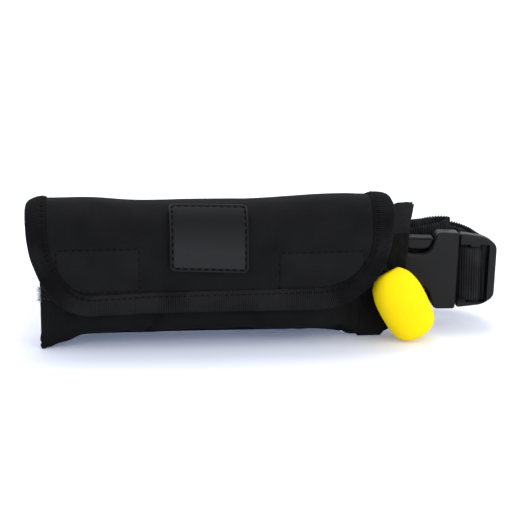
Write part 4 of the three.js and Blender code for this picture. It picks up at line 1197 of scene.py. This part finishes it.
def make_tunnel():
    x = np.linspace(TUNNEL_LEFT, TUNNEL_RIGHT, 130)[:, None]
    outer, inner = (together(x, *tunnel_outline(offset).T) for offset in (TUNNEL_CLOTH, 0))
    x, z = outer[..., 0], outer[..., 2]
    from_end = np.minimum(x - TUNNEL_LEFT, TUNNEL_RIGHT - x)
    pucker = TUNNEL_PUCKER * ripple(x, z, 6, 14) + TUNNEL_PUCKER * ripple(x, z * 0.5, 17, 15)
    outer[..., 1] += pucker - TUNNEL_SEAM_DIP * bell(from_end - TUNNEL_END_SEAM, TUNNEL_SEAM_WIDTH)
    piece = sheet_piece("tunnel_cloth", outer, inner, TUNNEL_NYLON, pairs(x, z))
    return settle(piece, "nylon", "belt_tunnel")


def tunnel_rows():
    bases = []
    x = np.linspace(TUNNEL_LEFT + 1, TUNNEL_RIGHT - 1, 60)
    from_flat = TUNNEL_SLOPE + TUNNEL_HEM_SEAM
    for z in (TUNNEL_FLAT_LOW - from_flat, TUNNEL_FLAT_HIGH + from_flat):
        bases.append(together(x, GAP + TUNNEL_CLOTH, z))
    z = np.linspace(TUNNEL_FLAT_LOW + 1, TUNNEL_FLAT_HIGH - 1, 40)
    for x in (TUNNEL_LEFT + TUNNEL_END_SEAM, TUNNEL_RIGHT - TUNNEL_END_SEAM):
        bases.append(together(x, TUNNEL_ROOM + TUNNEL_CLOTH - 0.15, z))
    return [(base, base + [0, 1, 0], TUNNEL_STITCH) for base in bases]


# Buckle
def rounded_outline(corners, steps=7):
    """Closed outline through corners given as u, v and how far from the corner its curve begins."""
    places = np.array([corner[:2] for corner in corners], float)
    share = np.linspace(0, 1, steps)[:, None]
    points = []
    for k, here in enumerate(places):
        size = corners[k][2]
        start = here + unit(places[k - 1] - here) * size
        stop = here + unit(places[(k + 1) % len(places)] - here) * size
        points.append((1 - share) ** 2 * start + 2 * share * (1 - share) * here + share ** 2 * stop)
    return np.vstack(points)


def mirrored(half):
    return [*half, *[(u, -v, size) for u, v, size in half[::-1]]]


def rectangle(area):
    return mirrored([(area[end], area["half"], RECTANGLE_ROUND) for end in ("to", "from")])


def inward(outline):
    """Inward directions at an outline's points, long enough to keep the sides parallel."""
    edge = np.roll(outline, -1, axis=0) - outline
    edge /= np.maximum(np.linalg.norm(edge, axis=1, keepdims=True), 1e-9)
    normal = together(-edge[:, 1], edge[:, 0])
    before = np.roll(normal, 1, axis=0)
    area = np.sum(outline[:, 0] * np.roll(outline[:, 1], -1) - np.roll(outline[:, 0], -1) * outline[:, 1])
    return np.sign(area) * (normal + before) / (1 + np.sum(normal * before, axis=1))[:, None]


def plate(outline, thick, front_round=0.0, back_round=0.0):
    """A plate in the buckle's own axes, with rounded front and back rims."""
    count = len(outline)
    direction = inward(outline)
    rings = []
    turn = np.linspace(0, math.pi / 2, 6)
    for side, size in ((1, back_round), (-1, front_round)):
        size = np.broadcast_to(np.asarray(size, float), count)
        steps = turn if size.max() > 0 else turn[-1:]
        for a in steps[::side]:
            ring = outline + direction * (size * (1 - math.sin(a)))[:, None]
            depth = side * (thick / 2 - size * (1 - math.cos(a)))
            rings.append(together(ring[:, 0], depth, ring[:, 1]))
    mesh = bpy.data.meshes.new("plate")
    mesh.from_pydata(np.vstack(rings).tolist(), [], tube_faces(len(rings), count))
    turn_outwards(mesh, merge=1e-4)
    return add_object("plate", mesh)


def combine(piece, operation, tool):
    change = piece.modifiers.new("combine", "BOOLEAN")
    change.operation = operation
    change.object = tool
    change.solver = "EXACT"
    bpy.context.view_layer.update()
    made = bpy.data.meshes.new_from_object(piece.evaluated_get(bpy.context.evaluated_depsgraph_get()))
    piece.modifiers.clear()
    piece.data = made
    bpy.data.objects.remove(tool)


def carve(piece, operation, corners, thick, rims=(0.0, 0.0), depth=0.0):
    """Adds or cuts a plate with the given corners and front and back rims, moved back by depth."""
    tool = plate(rounded_outline(corners), thick, *rims)
    tool.data.transform(Matrix.Translation((0, depth, 0)))
    combine(piece, operation, tool)


def finish_plastic(piece, name, node_name):
    """Moves a piece from the buckle's axes to its place and gives it its finish."""
    place = Matrix.Translation(BUCKLE_PLACE) @ Matrix.Rotation(BUCKLE_TURN, 4, "Y")
    piece.data.transform(Matrix.Translation(ORIGIN) @ Matrix.Scale(MM, 4) @ place)
    piece.name = name
    piece.data.materials.clear()
    piece.data.materials.append(PLASTIC)
    piece.data.polygons.foreach_set("use_smooth", [True] * len(piece.data.polygons))
    piece.data.set_sharp_from_angle(angle=SHARP_ANGLE)
    even = piece.modifiers.new("even", "WEIGHTED_NORMAL")
    even.keep_sharp = True
    return settle(piece, "buckle_plastic", node_name)


def make_socket():
    outline = rounded_outline(mirrored(SOCKET_HALF_OUTLINE), 9)
    u, v = outline.T
    in_notch = (u < SOCKET_NOTCH["to"]) & (u > SOCKET_NOTCH["from"])
    notch_share = ease(SOCKET_NOTCH["half"] - np.abs(v), 0.5, 5) * in_notch
    front_round = SOCKET_ROUND + (NOTCH_ROUND - SOCKET_ROUND) * notch_share
    socket = plate(outline, SOCKET_THICK, front_round, SOCKET_ROUND)
    carve(socket, "DIFFERENCE", rectangle(SOCKET_CAVITY), SOCKET_CAVITY["thick"])
    carve(socket, "DIFFERENCE", rectangle(SOCKET_SLOT), 2 * SOCKET_THICK)
    clear = (SOCKET_THICK + SOCKET_BAR["thick"]) / 2
    for side in (1, -1):
        carve(socket, "DIFFERENCE", rectangle(SOCKET_BAR), SOCKET_THICK, depth=side * clear)
    return finish_plastic(socket, "socket_body", "buckle_socket")


def make_plug():
    plug = plate(rounded_outline(mirrored(PLUG_HALF_OUTLINE), 5), PLUG_THICK, PLUG_ROUND, PLUG_ROUND)
    carve(plug, "UNION", rectangle(PLUG_BODY), PLUG_ARM_THICK)
    carve(plug, "DIFFERENCE", PLUG_OPENING, 2 * PLUG_THICK)
    carve(plug, "UNION", PLUG_TONGUE, PLUG_ARM_THICK)
    for side, paddle in ((1, PADDLE_UPPER), (-1, PADDLE_LOWER)):
        arm = [(u, side * v, size) for u, v, size in PLUG_ARM]
        carve(plug, "UNION", arm, PLUG_ARM_THICK)
        carve(plug, "UNION", paddle, PADDLE_THICK, (PADDLE_ROUND, PADDLE_ROUND))
    lip_depth = (PLUG_LIP_THICK - PLUG_THICK) / 2 + PLUG_LIP_SET_BACK
    carve(plug, "UNION", PLUG_LIP, PLUG_LIP_THICK, PLUG_LIP_RIMS, lip_depth)
    angle = circle(24)
    bar = together(CROSSBAR["half_width"] * np.cos(angle), CROSSBAR["half_thick"] * np.sin(angle))
    crossbar = plate(bar, 2 * CROSSBAR["half"])
    crossbar.data.transform(Matrix.Rotation(math.pi / 2, 4, "X"))
    crossbar.data.transform(Matrix.Translation((CROSSBAR["u"], CROSSBAR["back"], 0)))
    combine(plug, "UNION", crossbar)
    return finish_plastic(plug, "plug_frame", "buckle_plug")


# Toggle and cord
def toggle_centre():
    steep = math.hypot(TOGGLE_AXIS[0], TOGGLE_AXIS[1])
    height = max(-at * TOGGLE_AXIS[2] + radius * steep for at, radius in TOGGLE_PROFILE)
    return np.array([TOGGLE_X, TOGGLE_Y, height])


def make_toggle():
    (top, top_radius), (bottom, bottom_radius) = TOGGLE_PROFILE[0], TOGGLE_PROFILE[-1]
    ends = [(top, TOGGLE_TIP), (top, top_radius / 2), *TOGGLE_PROFILE, (bottom, bottom_radius / 2),
            (bottom, TOGGLE_TIP)]
    profile = catmull_rom(ends, 8)
    at, radius = profile[:, :1], profile[:, 1:]
    spoke = spokes(TOGGLE_SPOKES, *cross_axes(TOGGLE_AXIS))
    near_top = ease(-at, TOGGLE_CUT_FROM, TOGGLE_CUT_TO)
    cut = TOGGLE_SLANT * (radius * spoke[None, :, 1] + TOGGLE_CUT_SHIFT) * near_top
    rings = toggle_centre() + (at + cut)[..., None] * TOGGLE_AXIS + radius[..., None] * spoke
    cloth = pairs(at, np.arange(TOGGLE_SPOKES)[None, :] * 0.9)
    return settle(tube_piece("foam_toggle", rings, FOAM, cloth), "toggle_foam", "toggle")


def make_cord():
    head = TOGGLE_PROFILE[0][0] - GAP
    lead = [toggle_centre() + TOGGLE_AXIS * at for at in (head, head - CORD_LEAD)]
    route = catmull_rom([*lead, *CORD_ROUTE], 14)
    forward = unit(np.gradient(route, axis=0))
    side = unit(np.cross(forward, [1.0, 0, 0]))
    rings = route[:, None] + CORD_RADIUS * spokes(CORD_SPOKES, side, np.cross(forward, side))
    cloth = pairs(lengths(route)[:, None], circle(CORD_SPOKES)[None, :] * CORD_RADIUS)
    return settle(tube_piece("braided_cord", rings, CORD_BRAID, cloth), "cord", "pull_cord")


# Stage: white all round, dimmer on the camera's side
FRONT_LIGHT = (0.25, (0.72, 0.75, 0.82))
BACK_LIGHT = (0.62, (0.94, 0.965, 1.03))
LIGHT_STRENGTH = 1.12
FLOOR_COLOUR = (0.9, 0.9, 0.92, 1)
FLOOR_GLOW = (0.5, 0.62, 1, 1)
FLOOR_GLOW_STRENGTH = 0.18
FLOOR_REACH = 1.0
FLOOR_Z = -0.0002
# Lamps in metres: name, place, size, power, colour
LAMP_AIM = Vector((0.0, 0.0, 0.03))
LAMPS = (
    ("key", (0.05, 0.5, 1.25), 0.9, 7.5, (1.0, 0.97, 0.92)),
    ("fill", (0.75, -1.0, 1.0), 1.2, 4.5, (1.0, 0.98, 0.95)),
    ("front", (0.5, -1.1, 0.2), 0.8, 2.4, (1.0, 0.99, 0.97)),
)


def make_stage():
    floor_material, _, shader = start_material("floor", 0.9, specular=0.1)
    set_inputs(shader, {"Base Color": FLOOR_COLOUR, "Emission Color": FLOOR_GLOW})
    set_inputs(shader, {"Emission Strength": FLOOR_GLOW_STRENGTH})
    floor = bpy.data.meshes.new("floor")
    corners = [(a * FLOOR_REACH, b * FLOOR_REACH, FLOOR_Z) for a, b in ((-1, -1), (1, -1), (1, 1), (-1, 1))]
    floor.from_pydata(corners, [], [(0, 1, 2, 3)])
    floor.materials.append(floor_material)
    add_object("floor", floor)

    world = bpy.data.worlds.new("studio")
    world.use_nodes = True
    tree = world.node_tree
    split = node(tree, "ShaderNodeSeparateXYZ")
    tree.links.new(node(tree, "ShaderNodeTexCoord").outputs["Generated"], split.inputs[0])
    back_share = maths(tree, "ADD", maths(tree, "MULTIPLY", split.outputs["Y"], 0.5), 0.5)
    light = colour_ramp(tree, back_share, (FRONT_LIGHT, BACK_LIGHT))
    background = tree.nodes["Background"]
    tree.links.new(light, background.inputs["Color"])
    set_inputs(background, {"Strength": LIGHT_STRENGTH})
    bpy.context.scene.world = world
    bpy.context.scene.view_settings.view_transform = "Standard"

    for name, place, size, power, colour in LAMPS:
        lamp = bpy.data.lights.new(name, "AREA")
        lamp.shape = "DISK"
        lamp.size = size
        lamp.energy = power
        lamp.color = colour
        hung = add_object(name, lamp)
        hung.location = place
        hung.rotation_euler = (LAMP_AIM - Vector(place)).to_track_quat("-Z", "Y").to_euler()


def main():
    make_stage()
    flap = make_flap()
    binding, edge = make_binding()
    patch = make_patch()
    stitches = [
        make_stitches("box_stitches", box_rows(), "nylon"),
        make_stitches("binding_stitches", binding_rows(edge), "grosgrain"),
        make_stitches("patch_stitches", patch_rows(), "nylon"),
    ]
    pouch = make_pouch()
    hook_left, hook_right, loop = make_tapes()
    belt, belt_length = make_belt()
    tunnel = make_tunnel()
    tunnel_stitches = make_stitches("tunnel_stitches", tunnel_rows(), "nylon")
    make_socket()
    make_plug()
    make_toggle()
    make_cord()
    fuzz = make_fuzz()
    make_fray()


main()
